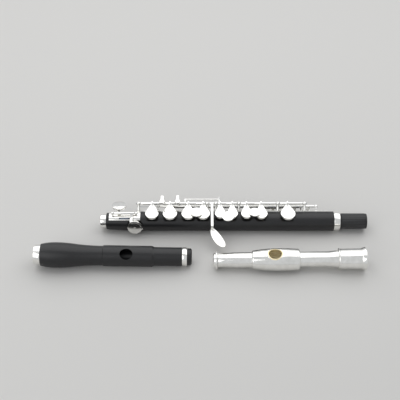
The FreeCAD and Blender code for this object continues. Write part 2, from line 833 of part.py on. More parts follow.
def trill_key(label, angle, post_left, post_right, touch_along, touch_back, cup_along, cup_angle):
    """A long trill key: touch at the foot end, tube along the body, small closed cup."""
    across, up = trill_line(angle)
    space = s.trill_ball_radius + s.end_gap
    start = post_left + space
    end = post_right - space
    shell, pad = cup_and_pad(label, cup_along, cup_angle, s.trill_cup_radius, s.small_cup_rim)
    pieces = [shell, hinge_tube(label, s.trill_tube_radius, start, end, across, up)]
    strap_half = s.trill_strap / 2
    pieces.append(block(label + "_foot", s.trill_strap_width, touch_back + s.trill_strap - across,
                        s.trill_strap, touch_along, across, up - strap_half))
    pieces.append(block(label + "_riser", s.trill_strap_width, s.trill_strap,
                        s.trill_touch_height + s.trill_strap - up + strap_half,
                        touch_along, touch_back, up - strap_half))
    pieces.append(block(label + "_top", s.trill_strap_width,
                        touch_back + s.trill_strap - s.trill_touch_front, s.trill_strap,
                        touch_along, s.trill_touch_front, s.trill_touch_height))
    below = (s.trill_touch_thickness - s.trill_strap) / 2
    pieces.append(put(cylinder(label + "_touch", s.trill_touch_radius, s.trill_touch_thickness),
                      touch_along, s.trill_touch_front, s.trill_touch_height - below))
    cup_top = rim_bottom + s.small_cup_rim + s.trill_strap / 2
    cup_point = (sine(cup_angle) * cup_top, cosine(cup_angle) * cup_top)
    pieces.append(arm_between(label + "_arm", cup_along, s.trill_strap_width, s.trill_strap,
                              cup_point, (across, up)))
    bore = s.trill_steel_radius + s.tube_fit
    key = bored(label, pieces, bore, start, end, across, up)
    keep(key, label, body_place)
    keep(pad, label + "_pad", body_place)


trill_key("d_sharp_trill_key", s.ds_angle, ds_left, ds_right,
          ds_left + s.ds_touch_after, s.ds_touch_back, ds_cup_place, s.ds_cup_angle)
trill_key("d_trill_key", s.dt_angle, dt_left, dt_right,
          dt_left + s.dt_touch_after, s.dt_touch_back, dt_cup_place, s.dt_cup_angle)


# Thumb keys

thumb_across = sine(s.thumb_angle) * s.thumb_reach
thumb_up = cosine(s.thumb_angle) * s.thumb_reach
thumb_space = s.trill_ball_radius + s.end_gap
thumb_bore = s.trill_steel_radius + s.tube_fit


def thumb_b_key():
    label = "thumb_b_key"
    start = thumb_split + half_gap
    end = thumb_right - thumb_space
    shell, pad = cup_and_pad(label, thumb_cup_place, s.thumb_cup_angle,
                             s.thumb_cup_radius, s.cup_rim)
    top = rim_bottom + s.cup_rim
    cup_point = (sine(s.thumb_cup_angle) * top, cosine(s.thumb_cup_angle) * top)
    pieces = [shell, hinge_tube(label, s.trill_tube_radius, start, end, thumb_across, thumb_up),
              arm_between(label + "_arm", thumb_cup_place, s.arm_width, s.arm_thickness,
                          cup_point, (thumb_across, thumb_up))]
    key = bored(label, pieces, thumb_bore, start, end, thumb_across, thumb_up)
    place = swung(thumb_across.number, thumb_up.number, s.thumb_open_angle.number)
    keep(key, label, place)
    keep(pad, label + "_pad", place)


def thumb_b_flat_lever():
    label = "thumb_b_flat_lever"
    start = thumb_left + thumb_space
    end = thumb_split - half_gap
    touch_place = thumb_left + s.thumb_touch_after
    touch = cylinder(label + "_touch", s.thumb_touch_radius, s.arm_thickness)
    put_radial(touch, touch_place, s.thumb_touch_angle, s.thumb_touch_reach)
    middle = s.thumb_touch_reach + s.arm_thickness / 2
    touch_point = (sine(s.thumb_touch_angle) * middle, cosine(s.thumb_touch_angle) * middle)
    pieces = [touch, hinge_tube(label, s.trill_tube_radius, start, end, thumb_across, thumb_up),
              arm_between(label + "_arm", touch_place, s.arm_width, s.arm_thickness,
                          touch_point, (thumb_across, thumb_up))]
    lever = bored(label, pieces, thumb_bore, start, end, thumb_across, thumb_up)
    keep(lever, label, swung(thumb_across.number, thumb_up.number, s.thumb_open_angle.number))


thumb_b_key()
thumb_b_flat_lever()


# E flat key on the foot plate

ef_across = sine(s.ef_angle) * s.ef_reach
ef_up = cosine(s.ef_angle) * s.ef_reach
foot_slope = (s.body_radius - s.foot_radius) / (foot_taper_end - s.foot_ring_length)


def rim_arm(name, along, angle, radius, low):
    """A crescent that hugs part of a cup's rim, from its hinge side round to its right."""
    inner = radius - s.ef_rim_width + s.ef_rim_outset
    outside = cylinder(name + "_outside", radius + s.ef_rim_outset, s.ef_rim_height)
    bind(outside, Angle=s.ef_rim_span)
    put_radial(outside, along, angle, low)
    outside.Placement = outside.Placement * FreeCAD.Placement(
        FreeCAD.Vector(), FreeCAD.Rotation(Z_AXIS, s.ef_rim_start.number))
    inside = put_radial(cylinder(name + "_inside", inner, s.ef_rim_height + MARGIN * 2),
                        along, angle, low - MARGIN)
    return cut(name, outside, [inside])


def e_flat_key():
    label = "e_flat_key"
    start = ef_left + thumb_space
    end = ef_right - thumb_space
    shell, pad = cup_and_pad(label, ef_cup_place, s.ef_cup_angle, s.ef_cup_radius, s.cup_rim)
    touch_place = ef_left + s.ef_touch_after
    touch = cylinder(label + "_touch", s.ef_touch_radius, s.ef_touch_thickness)
    turn = FreeCAD.Rotation(X_AXIS, -SIZES["ef_touch_angle"])
    lean = (sine(s.ef_touch_angle), cosine(s.ef_touch_angle))
    touch_across = lean[0] * s.ef_touch_height + lean[1] * s.ef_touch_along
    touch_up = lean[1] * s.ef_touch_height - lean[0] * s.ef_touch_along
    put(touch, touch_place, touch_across, touch_up, turn)
    arm_place = ef_right - s.ef_arm_before
    rim_top = rim_bottom + s.cup_rim + s.cup_dome
    rim_low = rim_top - s.ef_rim_height / 2
    over = rim_low + s.ef_rim_height - s.arm_thickness / 2
    knee = (sine(s.ef_cup_angle) * over + cosine(s.ef_cup_angle) * s.ef_cup_radius,
            cosine(s.ef_cup_angle) * over - sine(s.ef_cup_angle) * s.ef_cup_radius)
    pieces = [shell, touch,
              hinge_tube(label, s.trill_tube_radius, start, end, ef_across, ef_up),
              arm_between(label + "_touch_arm", touch_place, s.arm_width, s.arm_thickness,
                          (ef_across, ef_up), (touch_across, touch_up)),
              arm_between(label + "_hinge_arm", arm_place, s.ef_arm_width, s.arm_thickness,
                          (ef_across, ef_up), knee),
              rod(label + "_knee", s.arm_thickness / 2, arm_place - s.ef_arm_width / 2,
                  arm_place + s.ef_arm_width / 2, knee[0], knee[1]),
              rim_arm(label + "_rim_arm", ef_cup_place, s.ef_cup_angle, s.ef_cup_radius, rim_low)]
    bore = s.trill_steel_radius + s.tube_fit
    key = bored(label, pieces, bore, start, end, ef_across, ef_up)
    keep(key, label, body_place)
    keep(pad, label + "_pad", body_place)


e_flat_key()


# Tone holes: where each cup sits, its radius, and its hole

TOP_CUPS = [(along, 0.0, radius, s.chimney_radius, s.hole_radius)
            for start, end, along, radius in MAIN_KEYS.values()]
SIDE_CUPS = [
    (gs_arm_place, s.gs_cup_angle, s.gs_cup_radius, s.chimney_radius, s.hole_radius),
    (thumb_cup_place, s.thumb_cup_angle, s.thumb_cup_radius, s.chimney_radius, s.hole_radius),
    (ef_cup_place, s.ef_cup_angle, s.ef_cup_radius, s.chimney_radius, s.hole_radius),
    (ds_cup_place, s.ds_cup_angle, s.trill_cup_radius, s.small_chimney_radius,
     s.small_hole_radius),
    (dt_cup_place, s.dt_cup_angle, s.trill_cup_radius, s.small_chimney_radius,
     s.small_hole_radius),
]


def body_tube():
    """The black tube with its conical bore, seats for the rings and cork, and tone holes."""
    outline = [
        (s.ring_lip, s.foot_bore_radius),
        (s.ring_lip, s.foot_spigot_radius),
        (s.foot_ring_length, s.foot_spigot_radius),
        (s.foot_ring_length, s.foot_radius),
        (foot_taper_end, s.body_radius),
        (tenon_ring_place, s.body_radius),
        (tenon_ring_place, s.tenon_ring_seat),
        (tenon_ring_end, s.tenon_ring_seat),
        (tenon_ring_end, s.tenon_land_radius),
        (tenon_ring_end + s.tenon_land_width, s.tenon_land_radius),
        (tenon_ring_end + s.tenon_land_width, s.tenon_groove_radius),
        (body_end - s.tenon_land_width, s.tenon_groove_radius),
        (body_end - s.tenon_land_width, s.tenon_land_radius),
        (body_end, s.tenon_land_radius),
        (body_end, s.tenon_bore_radius),
        (s.foot_bore_length, s.foot_bore_radius),
    ]
    blank = revolved("body_blank", outline)
    recesses = []
    chimneys = []
    holes = []
    for index, cup in enumerate(TOP_CUPS + SIDE_CUPS):
        along, angle, cup_radius, chimney_radius, hole_radius = cup
        recess = cylinder(f"recess_{index}", cup_radius + s.recess_clearance, rim_bottom)
        recesses.append(put_radial(recess, along, angle, s.recess_floor))
        chimney = cylinder(f"chimney_{index}", chimney_radius, s.chimney_top - s.recess_floor + MARGIN)
        chimneys.append(put_radial(chimney, along, angle, s.recess_floor - MARGIN))
        hole = cylinder(f"hole_{index}", hole_radius, s.body_radius + MARGIN)
        holes.append(put_radial(hole, along, angle, 0.0))
    seats = cut("tone_hole_seats", fuse("recesses", recesses), [fuse("chimneys", chimneys)])
    seated = cut("body_with_seats", blank, [seats])
    keep(cut("body_tube", seated, [fuse("tone_holes", holes)]), "body_tube", body_place)


def body_rings():
    foot = revolved("foot_ring", [
        (0.0, s.foot_bore_radius + s.ring_round),
        (0.0, s.foot_ring_radius - s.ring_round),
        (s.ring_round, s.foot_ring_radius),
        (s.foot_ring_length - s.ring_round, s.foot_ring_radius),
        (s.foot_ring_length, s.foot_ring_radius - s.ring_round),
        (s.foot_ring_length, s.foot_spigot_radius),
        (s.ring_lip, s.foot_spigot_radius),
        (s.ring_lip, s.foot_bore_radius + s.ring_round),
    ])
    keep(foot, "foot_ring", body_place)
    tenon = revolved("tenon_ring", [
        (tenon_ring_place, s.tenon_ring_seat),
        (tenon_ring_place, s.tenon_ring_radius),
        (tenon_ring_end, s.tenon_ring_radius, s.tenon_ring_bow),
        (tenon_ring_end, s.tenon_ring_seat),
    ])
    keep(tenon, "tenon_ring", body_place)
    cork_start = tenon_ring_end + s.tenon_land_width
    cork_end = body_end - s.tenon_land_width
    cork = revolved("tenon_cork", [
        (cork_start, s.tenon_groove_radius),
        (cork_start, s.tenon_cork_radius - s.ring_round),
        (cork_start + s.ring_round, s.tenon_cork_radius),
        (cork_end - s.ring_round, s.tenon_cork_radius),
        (cork_end, s.tenon_cork_radius - s.ring_round),
        (cork_end, s.tenon_groove_radius),
    ])
    keep(cork, "tenon_cork", body_place)


def key_rib():
    half = s.rib_span / 2
    middle = (rib_start + rib_end) / 2
    rib = strap("key_rib", s.body_radius, s.rib_radius - s.body_radius,
                s.rib_angle - half, s.rib_angle + half, middle, rib_end - rib_start)
    keep(rib, "key_rib", body_place)


def foot_key_plate():
    """The curved plate at the foot with its window and the two posts of the E flat key."""
    near = s.foot_radius + (plate_start - s.foot_ring_length) * foot_slope
    inner = [(plate_start, near), (foot_taper_end, s.body_radius), (plate_end, s.body_radius)]
    outer = [(place, radius + s.plate_thickness) for place, radius in reversed(inner)]
    plate = revolved("foot_plate_strip", [inner[2], inner[1], inner[0], outer[2], outer[1], outer[0]],
                     s.plate_span)
    plate.Placement = FreeCAD.Placement(
        FreeCAD.Vector(), FreeCAD.Rotation(X_AXIS, 90 - SIZES["plate_angle"]))
    posts = []
    for index, place in enumerate((ef_left, ef_right)):
        stem = cylinder(f"ef_post_{index}", s.trill_stem_radius, s.ef_reach - s.body_radius + MARGIN / 2)
        posts.append(put_radial(stem, place, s.ef_angle, s.body_radius - MARGIN / 2))
        posts.append(ball(f"ef_ball_{index}", s.trill_ball_radius, place, ef_across, ef_up))
    form = revolved("foot_form", [
        (s.foot_ring_length, 0.0), (s.foot_ring_length, s.foot_radius),
        (foot_taper_end, s.body_radius), (rib_start, s.body_radius), (rib_start, 0.0)])
    hole = rod("ef_post_hole", s.trill_steel_radius + s.steel_fit,
               plate_start, plate_end, ef_across, ef_up)
    half = s.window_span / 2
    window = strap("plate_window", s.foot_radius - MARGIN / 2, s.plate_thickness + MARGIN * 2,
                   s.window_angle - half, s.window_angle + half,
                   ef_left + s.window_after_post + s.window_length / 2, s.window_length)
    joined = fuse("foot_plate_joined", [plate] + posts)
    keep(cut("foot_key_plate", joined, [form, hole, window]), "foot_key_plate", body_place)


MAIN_POSTS = [post_one, post_two, post_three, post_four, post_five, post_six]
SPRINGS = [(post_one, 1), (post_two, -1), (post_four, -1), (post_four, 1),
           (post_five, -1), (post_five, 1), (post_six, -1)]


def post(name, place, angle, reach, floor, stem_radius, foot_radius, ball_radius):
    """A ball post: stem, spread foot on its floor and the ball that holds the steel."""
    low = s.body_radius - MARGIN / 2
    stem = put_radial(cylinder(name + "_stem", stem_radius, reach - low), place, angle, low)
    foot = cylinder(name + "_foot", foot_radius, floor + s.post_foot_height - low)
    put_radial(foot, place, angle, low)
    return [stem, foot,
            ball(name + "_ball", ball_radius, place, sine(angle) * reach, cosine(angle) * reach)]


def rod_posts():
    """Six ball posts: the first stands on the foot plate, the others on the rib."""
    plate_top = s.body_radius + s.plate_thickness
    floors = [plate_top] + [s.rib_radius] * (len(MAIN_POSTS) - 1)
    pieces = []
    for index, (place, floor) in enumerate(zip(MAIN_POSTS, floors)):
        pieces += post(f"main_post_{index}", place, s.hinge_angle, s.hinge_reach, floor,
                       s.post_stem_radius, s.post_foot_radius, s.post_ball_radius)
    tools = [
        rod("plate_seat", plate_top, foot_taper_end, plate_end),
        rod("rib_seat", s.rib_radius, rib_start, rib_end),
        rod("main_post_hole", s.steel_radius + s.steel_fit, post_one - MARGIN,
            post_six + MARGIN, hinge_across, hinge_up),
    ]
    spring_across = sine(s.hinge_angle) * s.spring_reach
    spring_up = cosine(s.hinge_angle) * s.spring_reach
    for index, place in enumerate(MAIN_POSTS):
        tools.append(rod(f"spring_hole_{index}", s.spring_radius + s.steel_fit, place - MARGIN,
                         place + MARGIN, spring_across, spring_up))
    keep(cut("rod_posts", fuse("main_posts", pieces), tools), "rod_posts", body_place)


def side_posts(label, places):
    """Posts that stand on the wood, given as (name, along, angle, reach)."""
    pieces = []
    tools = [rod(label + "_seat", s.body_radius, rib_start, rib_end)]
    for name, place, angle, reach in places:
        pieces += post(name, place, angle, reach, s.body_radius,
                       s.trill_stem_radius, s.trill_foot_radius, s.trill_ball_radius)
        tools.append(rod(name + "_hole", s.trill_steel_radius + s.steel_fit, place - MARGIN,
                         place + MARGIN, sine(angle) * reach, cosine(angle) * reach))
    keep(cut(label, fuse(label + "_joined", pieces), tools), label, body_place)


def steels():
    """The steel rods that the key tubes turn on."""
    overhang = s.post_ball_radius - s.end_gap
    spans = [("right_hand_steel", post_one - overhang, post_three - half_gap),
             ("left_hand_steel", post_three + half_gap, post_five - half_gap),
             ("c_key_steel", post_five + half_gap, post_six + overhang)]
    for label, start, end in spans:
        keep(rod(label, s.steel_radius, start, end, hinge_across, hinge_up), label, body_place)
    side_overhang = s.trill_ball_radius - s.end_gap
    trills = []
    for name, angle, left, right in (("ds", s.ds_angle, ds_left, ds_right),
                                     ("dt", s.dt_angle, dt_left, dt_right)):
        across, up = trill_line(angle)
        trills.append(rod(name + "_steel", s.trill_steel_radius, left - side_overhang,
                          right + side_overhang, across, up))
    keep(fuse("trill_steels", trills), "trill_steels", body_place)
    thumb = rod("thumb_steel", s.trill_steel_radius, thumb_left - side_overhang,
                thumb_right + side_overhang, thumb_across, thumb_up)
    keep(thumb, "thumb_steel", body_place)
    foot = rod("foot_key_steel", s.trill_steel_radius, ef_left - side_overhang,
               ef_right + side_overhang, ef_across, ef_up)
    keep(foot, "foot_key_steel", body_place)


def needle_springs():
    """Thin steel needles that run from the posts below the key tubes."""
    across = sine(s.hinge_angle) * s.spring_reach
    up = cosine(s.hinge_angle) * s.spring_reach
    needles = []
    for index, (place, way) in enumerate(SPRINGS):
        start = place if way > 0 else place - s.spring_length
        needles.append(rod(f"needle_{index}", s.spring_radius,
                           start, start + s.spring_length, across, up))
    keep(fuse("needle_springs", needles), "needle_springs", body_place)


body_tube()
body_rings()
key_rib()
foot_key_plate()
rod_posts()
side_posts("trill_posts", [
    ("ds_left", ds_left, s.ds_angle, s.trill_reach),
    ("ds_right", ds_right, s.ds_angle, s.trill_reach),
    ("dt_left", dt_left, s.dt_angle, s.trill_reach),
    ("dt_right", dt_right, s.dt_angle, s.trill_reach)])
side_posts("thumb_posts", [
    ("thumb_left", thumb_left, s.thumb_angle, s.thumb_reach),
    ("thumb_right", thumb_right, s.thumb_angle, s.thumb_reach)])
steels()
needle_springs()


# Black head joint

def oval_prism(name, grow, along, reach):
    """An oval column standing on the head's axis, for a blow hole or its chimney."""
    oval = doc.addObject("Part::Ellipse", name + "_oval")
    bind(oval, MajorRadius=s.blow_hole_length / 2 + grow, MinorRadius=s.blow_hole_width / 2 + grow)
    put(oval, along, 0.0, 0.0)
    prism = doc.addObject("Part::Extrusion", name)
    prism.Base = oval
    prism.Dir = Z_AXIS
    prism.DirMode = "Custom"
    prism.Solid = True
    bind(prism, LengthFwd=reach)
    return prism


def wood_head():
    ring_end = s.wood_ring_length
    crown_end = wood_crown_ring_end
    step = s.wood_lip_radius - s.wood_neck_radius
    spigot = s.wood_crown_ring_radius - s.ring_lip
    tube = revolved("wood_head_blank", [
        (s.ring_lip, s.head_socket_radius),
        (s.ring_lip, s.wood_ring_seat),
        (ring_end, s.wood_ring_seat),
        (ring_end, s.wood_shoulder_radius),
        (s.wood_bulge_place, s.wood_bulge_radius, s.wood_bulge_bow),
        (wood_waist_place, s.wood_waist_radius, s.wood_bulge_bow),
        (wood_neck_place, s.wood_neck_radius, -s.wood_neck_bow),
        (wood_lip_start, s.wood_neck_radius),
        (wood_lip_start + step, s.wood_lip_radius),
        (wood_lip_end, s.wood_lip_radius),
        (wood_lip_end + s.wood_lip_slope, s.wood_crown_side_radius),
        (wood_crown_ring_place, s.wood_crown_side_radius),
        (wood_crown_ring_place, spigot),
        (crown_end, spigot),
        (crown_end, s.head_bore_radius),
        (s.head_socket_depth, s.head_bore_radius),
        (s.head_socket_depth, s.head_socket_radius),
    ])
    hole = oval_prism("wood_blow_hole", 0.0, wood_hole_place, s.wood_bulge_radius)
    keep(cut("wood_head_tube", tube, [hole]), "wood_head_tube", wood_place)
    ring = revolved("wood_head_socket_ring", [
        (0.0, s.head_socket_radius),
        (0.0, s.wood_ring_near - s.ring_round),
        (s.ring_round, s.wood_ring_near),
        (ring_end, s.wood_ring_far),
        (ring_end, s.wood_ring_seat),
        (s.ring_lip, s.wood_ring_seat),
        (s.ring_lip, s.head_socket_radius),
    ])
    keep(ring, "wood_head_socket_ring", wood_place)
    crown_ring = revolved("wood_head_crown_ring", [
        (wood_crown_ring_place, spigot),
        (wood_crown_ring_place, s.wood_crown_ring_radius),
        (crown_end, s.wood_crown_ring_radius, s.ring_bow),
        (crown_end, spigot),
    ])
    keep(crown_ring, "wood_head_crown_ring", wood_place)
    crown_start = crown_end + s.end_gap
    crown = revolved("wood_head_crown", [
        (crown_end - s.crown_spigot_length, s.stopper_screw_radius + s.screw_fit),
        (crown_end - s.crown_spigot_length, s.head_bore_radius - s.crown_fit),
        (crown_start, s.head_bore_radius - s.crown_fit),
        (crown_start, s.wood_crown_radius),
        (wood_head_end - s.crown_dome, s.wood_crown_radius),
        (wood_head_end, s.wood_crown_radius - s.crown_dome_run, s.ring_bow),
        (wood_head_end, 0.0),
        (wood_head_end - s.crown_cover, 0.0),
        (wood_head_end - s.crown_cover, s.stopper_screw_radius + s.screw_fit),
    ])
    keep(crown, "wood_head_crown", wood_place)
    stopper_and_screw("wood", wood_place, wood_hole_place, 1,
                      wood_head_end - s.crown_cover - s.screw_tip_gap)


def stopper_and_screw(name, place, blow_hole, way, screw_end):
    """A cork stopper between two plates, and the threaded rod to the crown."""
    near = blow_hole + s.stopper_gap * way
    far = near + (s.stopper_plate * 2.0 + s.stopper_cork_length) * way
    start, end = (near, far) if way > 0 else (far, near)
    fit = s.head_bore_radius - s.stopper_cork_fit
    waist = fit - s.ring_round
    stopper = revolved(f"{name}_head_stopper", [
        (start, 0.0), (start, waist), (start + s.stopper_plate, waist),
        (start + s.stopper_plate, fit), (end - s.stopper_plate, fit),
        (end - s.stopper_plate, waist), (end, waist), (end, 0.0)])
    keep(stopper, f"{name}_head_stopper", place)
    screw_start, screw_stop = (far, screw_end) if way > 0 else (screw_end, far)
    screw = rod(f"{name}_screw", s.stopper_screw_radius, screw_start, screw_stop)
    keep(screw, f"{name}_head_stopper_screw", place)


wood_head()


# Silver head joint

def metal_head():
    sleeve_start = metal_flare_end + s.metal_bead_width
    tube = revolved("metal_tube_blank", [
        (s.metal_crown_length, s.head_bore_radius),
        (s.metal_crown_length, s.metal_neck_radius),
        (metal_neck_end, s.metal_neck_radius),
        (metal_slope_end, s.metal_tube_radius),
        (metal_tube_end, s.metal_tube_radius),
        (metal_flare_end, s.metal_inner_radius),
        (sleeve_start, s.metal_inner_radius),
        (sleeve_start, s.head_socket_radius - s.ring_lip),
        (metal_tube_end, s.head_bore_radius),
    ])
    hole = oval_prism("metal_blow_hole", 0.0, metal_hole_place, s.lip_rise + MARGIN)
    keep(cut("metal_head_tube", tube, [hole]), "metal_head_tube", metal_place)
    socket = revolved("metal_head_socket", [
        (metal_flare_end, s.metal_inner_radius),
        (metal_flare_end, s.metal_sleeve_radius),
        (metal_flare_end + s.metal_bead_width / 2, s.metal_bead_radius),
        (sleeve_start, s.metal_sleeve_radius),
        (metal_end_ring_place, s.metal_sleeve_radius),
        (metal_end_ring_place + s.ring_round, s.metal_sleeve_radius + s.ring_round),
        (metal_head_end - s.ring_lip, s.metal_end_ring_radius),
        (metal_head_end, s.metal_end_ring_radius - s.ring_round),
        (metal_head_end, s.head_socket_radius),
        (sleeve_start, s.head_socket_radius),
        (sleeve_start, s.metal_inner_radius),
    ])
    keep(socket, "metal_head_socket", metal_place)
    lip_plate()
    crown_start = s.metal_crown_length - s.end_gap
    crown = revolved("metal_head_crown", [
        (0.0, 0.0),
        (0.0, s.metal_crown_radius - s.crown_dome_run),
        (s.crown_dome, s.metal_crown_radius, s.ring_bow),
        (crown_start - s.metal_flange_width, s.metal_crown_radius),
        (crown_start - s.metal_flange_width, s.metal_flange_radius),
        (crown_start, s.metal_flange_radius),
        (crown_start, s.head_bore_radius - s.crown_fit),
        (s.metal_crown_length + s.crown_spigot_length, s.head_bore_radius - s.crown_fit),
        (s.metal_crown_length + s.crown_spigot_length, s.stopper_screw_radius + s.screw_fit),
        (s.crown_cover, s.stopper_screw_radius + s.screw_fit),
        (s.crown_cover, 0.0),
    ])
    keep(crown, "metal_head_crown", metal_place)
    stopper_and_screw("metal", metal_place, metal_hole_place, -1, s.crown_cover + s.screw_tip_gap)


def lip_form(name, drop, inset):
    """The rounded outline of the lip plate, turned round the head."""
    start = lip_start + inset
    end = lip_end - inset
    return revolved(name, [
        (start, 0.0),
        (start, s.lip_near_radius - drop - s.lip_corner),
        (start + s.lip_corner, s.lip_near_radius - drop, s.lip_corner_bow),
        (metal_hole_place, s.lip_rise - drop, s.lip_bow),
        (end - s.lip_corner, s.lip_far_radius - drop, s.lip_bow),
        (end, s.lip_far_radius - drop - s.lip_corner, s.lip_corner_bow),
        (end, 0.0),
    ])


def lip_plate():
    """The raised plate round the blow hole, and the gold riser between it and the tube."""
    wall = s.riser_wall
    outer = lip_form("lip_form", 0.0, 0.0)
    inner = lip_form("lip_hollow", wall, wall)
    tube = rod("lip_tube_seat", s.metal_tube_radius, lip_start - MARGIN, lip_end + MARGIN)
    sector = cylinder("lip_sector", s.lip_rise + MARGIN, lip_end - lip_start + MARGIN * 2)
    bind(sector, Angle=s.lip_span)
    turn = FreeCAD.Rotation(Y_AXIS, 90) * FreeCAD.Rotation(Z_AXIS, 180 - SIZES["lip_span"] / 2)
    put(sector, lip_start - MARGIN, 0.0, 0.0, turn)
    chimney = oval_prism("riser_outer", wall, metal_hole_place, s.lip_rise + MARGIN)
    hole = oval_prism("riser_hole", 0.0, metal_hole_place, s.lip_rise + MARGIN * 2)
    plate = cut("lip_plate", common("lip_part", [outer, sector]),
                [fuse("lip_core", [inner, tube]), chimney])
    keep(plate, "lip_plate", metal_place)
    riser = cut("lip_riser", common("riser_form", [chimney, outer]), [tube, hole])
    keep(riser, "lip_riser", metal_place)


metal_head()

doc.recompute()
failed = [item.Name for item in doc.Objects if "Invalid" in item.State or "Error" in item.State]
if failed:
    raise RuntimeError(f"objects that did not build: {failed}")
for node in nodes:
    if node.Shape.isNull() or not node.Shape.isValid() or node.Shape.Volume <= 0:
        raise RuntimeError(f"no valid shape: {node.Label}")

os.makedirs("parts", exist_ok=True)
for node in nodes:
    node.Shape.exportStep(f"parts/{node.Label}.step")
print(f"{len(nodes)} pieces written")
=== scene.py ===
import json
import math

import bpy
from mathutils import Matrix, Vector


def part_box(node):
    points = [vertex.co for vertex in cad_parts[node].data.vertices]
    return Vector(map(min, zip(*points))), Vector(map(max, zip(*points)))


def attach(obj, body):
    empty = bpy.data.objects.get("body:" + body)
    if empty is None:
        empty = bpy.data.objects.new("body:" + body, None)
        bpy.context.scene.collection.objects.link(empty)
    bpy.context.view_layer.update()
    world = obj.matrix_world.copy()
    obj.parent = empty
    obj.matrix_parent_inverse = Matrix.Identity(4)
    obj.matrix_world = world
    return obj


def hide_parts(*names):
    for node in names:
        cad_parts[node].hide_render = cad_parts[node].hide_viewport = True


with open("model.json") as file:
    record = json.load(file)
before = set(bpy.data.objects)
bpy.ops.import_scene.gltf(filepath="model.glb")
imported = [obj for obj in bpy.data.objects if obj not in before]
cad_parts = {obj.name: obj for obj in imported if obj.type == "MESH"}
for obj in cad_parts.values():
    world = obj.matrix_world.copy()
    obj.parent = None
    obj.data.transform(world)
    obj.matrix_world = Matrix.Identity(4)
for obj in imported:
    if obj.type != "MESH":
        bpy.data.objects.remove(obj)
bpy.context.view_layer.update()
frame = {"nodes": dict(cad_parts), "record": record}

# %% [markdown]
# A piccolo lies taken apart: the black keyed body joint behind, and two head joints in
# front of it, one black and one silver. The measured solids are loaded already. This
# lesson sets up the view and the light, makes the finishes, and then makes the pieces that
# need a softer edge or a finer detail than a plain solid has.
#
# First come the tools. Blender works in metres and an instrument maker in millimetres, so
# one named value turns one into the other, and two small tables tell which body moves each
# piece and which finish it wears.

MM = 0.001
nodes = frame["nodes"]
bodies = frame["record"]["behaviour"]["bodies"]
body_of_node = {node: body for body, members in bodies.items() for node in members}
slot_of_node = {entry["node"]: entry["material_slot"] for entry in frame["record"]["subparts"]}


# %% [markdown]
# The photograph looks down at 45 degrees from in front. How far away it was taken shows in
# the sizes: the heads lie 40 mm nearer than the body and look one twentieth larger, which
# puts the camera some 0.68 m off, with a long lens of 73 mm. A nearer camera could frame
# the same picture, but it would spread the ends of the joints apart.

# %% Camera
CAMERA_PLACE = Vector((-2.9, -452.2, 499.2)) * MM
CAMERA_RISE = math.radians(44.76)
LENS = 73.0

bpy.ops.object.camera_add(location=CAMERA_PLACE, rotation=(math.pi / 2 - CAMERA_RISE, 0.0, 0.0))
camera = bpy.context.object
camera.name = "photo_camera"
camera.data.lens = LENS
camera.data.clip_start = 10 * MM
bpy.context.scene.camera = camera
print("camera", [round(v / MM) for v in camera.location], "mm, lens", LENS)


# %% [markdown]
# Polished silver shows what stands round it, so it needs something bright to mirror and
# something darker beside it, or keys look like grey card. Two wide, soft lamps do that:
# one hangs above and behind, and lays a long highlight on every rod and tube, and a weaker
# one in front on the left opens the shadows. Small lamps of the same power would look far
# brighter in a mirror. Even these two show white in a flat cup that faces them.

# %% Light
def make_lamp(name, place, width, depth, power):
    """A wide area lamp at a place in metres, turned to face the piccolo."""
    bpy.ops.object.light_add(type="AREA", location=place)
    lamp = bpy.context.object
    lamp.name = name
    lamp.data.shape = "RECTANGLE"
    lamp.data.size = width
    lamp.data.size_y = depth
    lamp.data.energy = power
    lamp.rotation_euler = (-Vector(place)).to_track_quat("-Z", "Y").to_euler()
    print(name, power, "W,", width, "by", depth, "m")


make_lamp("overhead_softbox", (0.05, 0.38, 0.72), 2.0, 1.1, 7.0)
make_lamp("front_fill", (-0.55, -0.55, 0.55), 0.9, 0.7, 1.9)


# %% [markdown]
# Colours are written as sRGB hex, the way a colour picker shows them, and one function
# turns them to the linear values that Blender mixes. A second one adds a node, sets it and
# links it, so that each finish below reads as a short recipe. A setting that lies deeper,
# such as a colour ramp's stop, is named by its path from the node. Textures are measured
# in the object's own metres, so the last function gives the scale at which a feature has
# its real size.

# %% Colour and node helpers
def linear(hex_colour):
    """An sRGB hex colour as linear red, green, blue and a full alpha."""
    parts = [int(hex_colour[i:i + 2], 16) / 255 for i in (1, 3, 5)]
    return [p / 12.92 if p <= 0.04045 else ((p + 0.055) / 1.055) ** 2.4 for p in parts] + [1.0]


def add_node(owner, kind, settings=None, **links):
    """Add one node to a material or world, set its properties by path, fill its sockets."""
    node = owner.node_tree.nodes.new(kind)
    for path, value in (settings or {}).items():
        holder, _, name = path.rpartition(".")
        setattr(node.path_resolve(holder) if holder else node, name, value)
    for name, value in links.items():
        socket = node.inputs[name.replace("_", " ")]
        if isinstance(value, bpy.types.NodeSocket):
            owner.node_tree.links.new(value, socket)
        else:
            socket.default_value = value
    return node


def new_material(name):
    """A node material with nothing in it yet."""
    material = bpy.data.materials.new(name)
    material.use_nodes = True
    material.node_tree.nodes.clear()
    return material


def per_mm(size_mm):
    """The texture scale at which one feature is about size_mm across."""
    return 1000.0 / size_mm


print("silver white is", [round(part, 3) for part in linear("#F6F5F2")[:3]], "in linear light")


# %% [markdown]
# The backdrop is a pale grey studio. The camera and mirror reflections see it at full
# strength, so silver has the same pale room to mirror that the camera sees. The light
# that it sheds on the rest is held lower, because at full strength it would wash the
# shadows out and the black joints would turn grey.

# %% Backdrop
BACKDROP = "#D2D4D6"
ROOM_LIGHT = 0.40

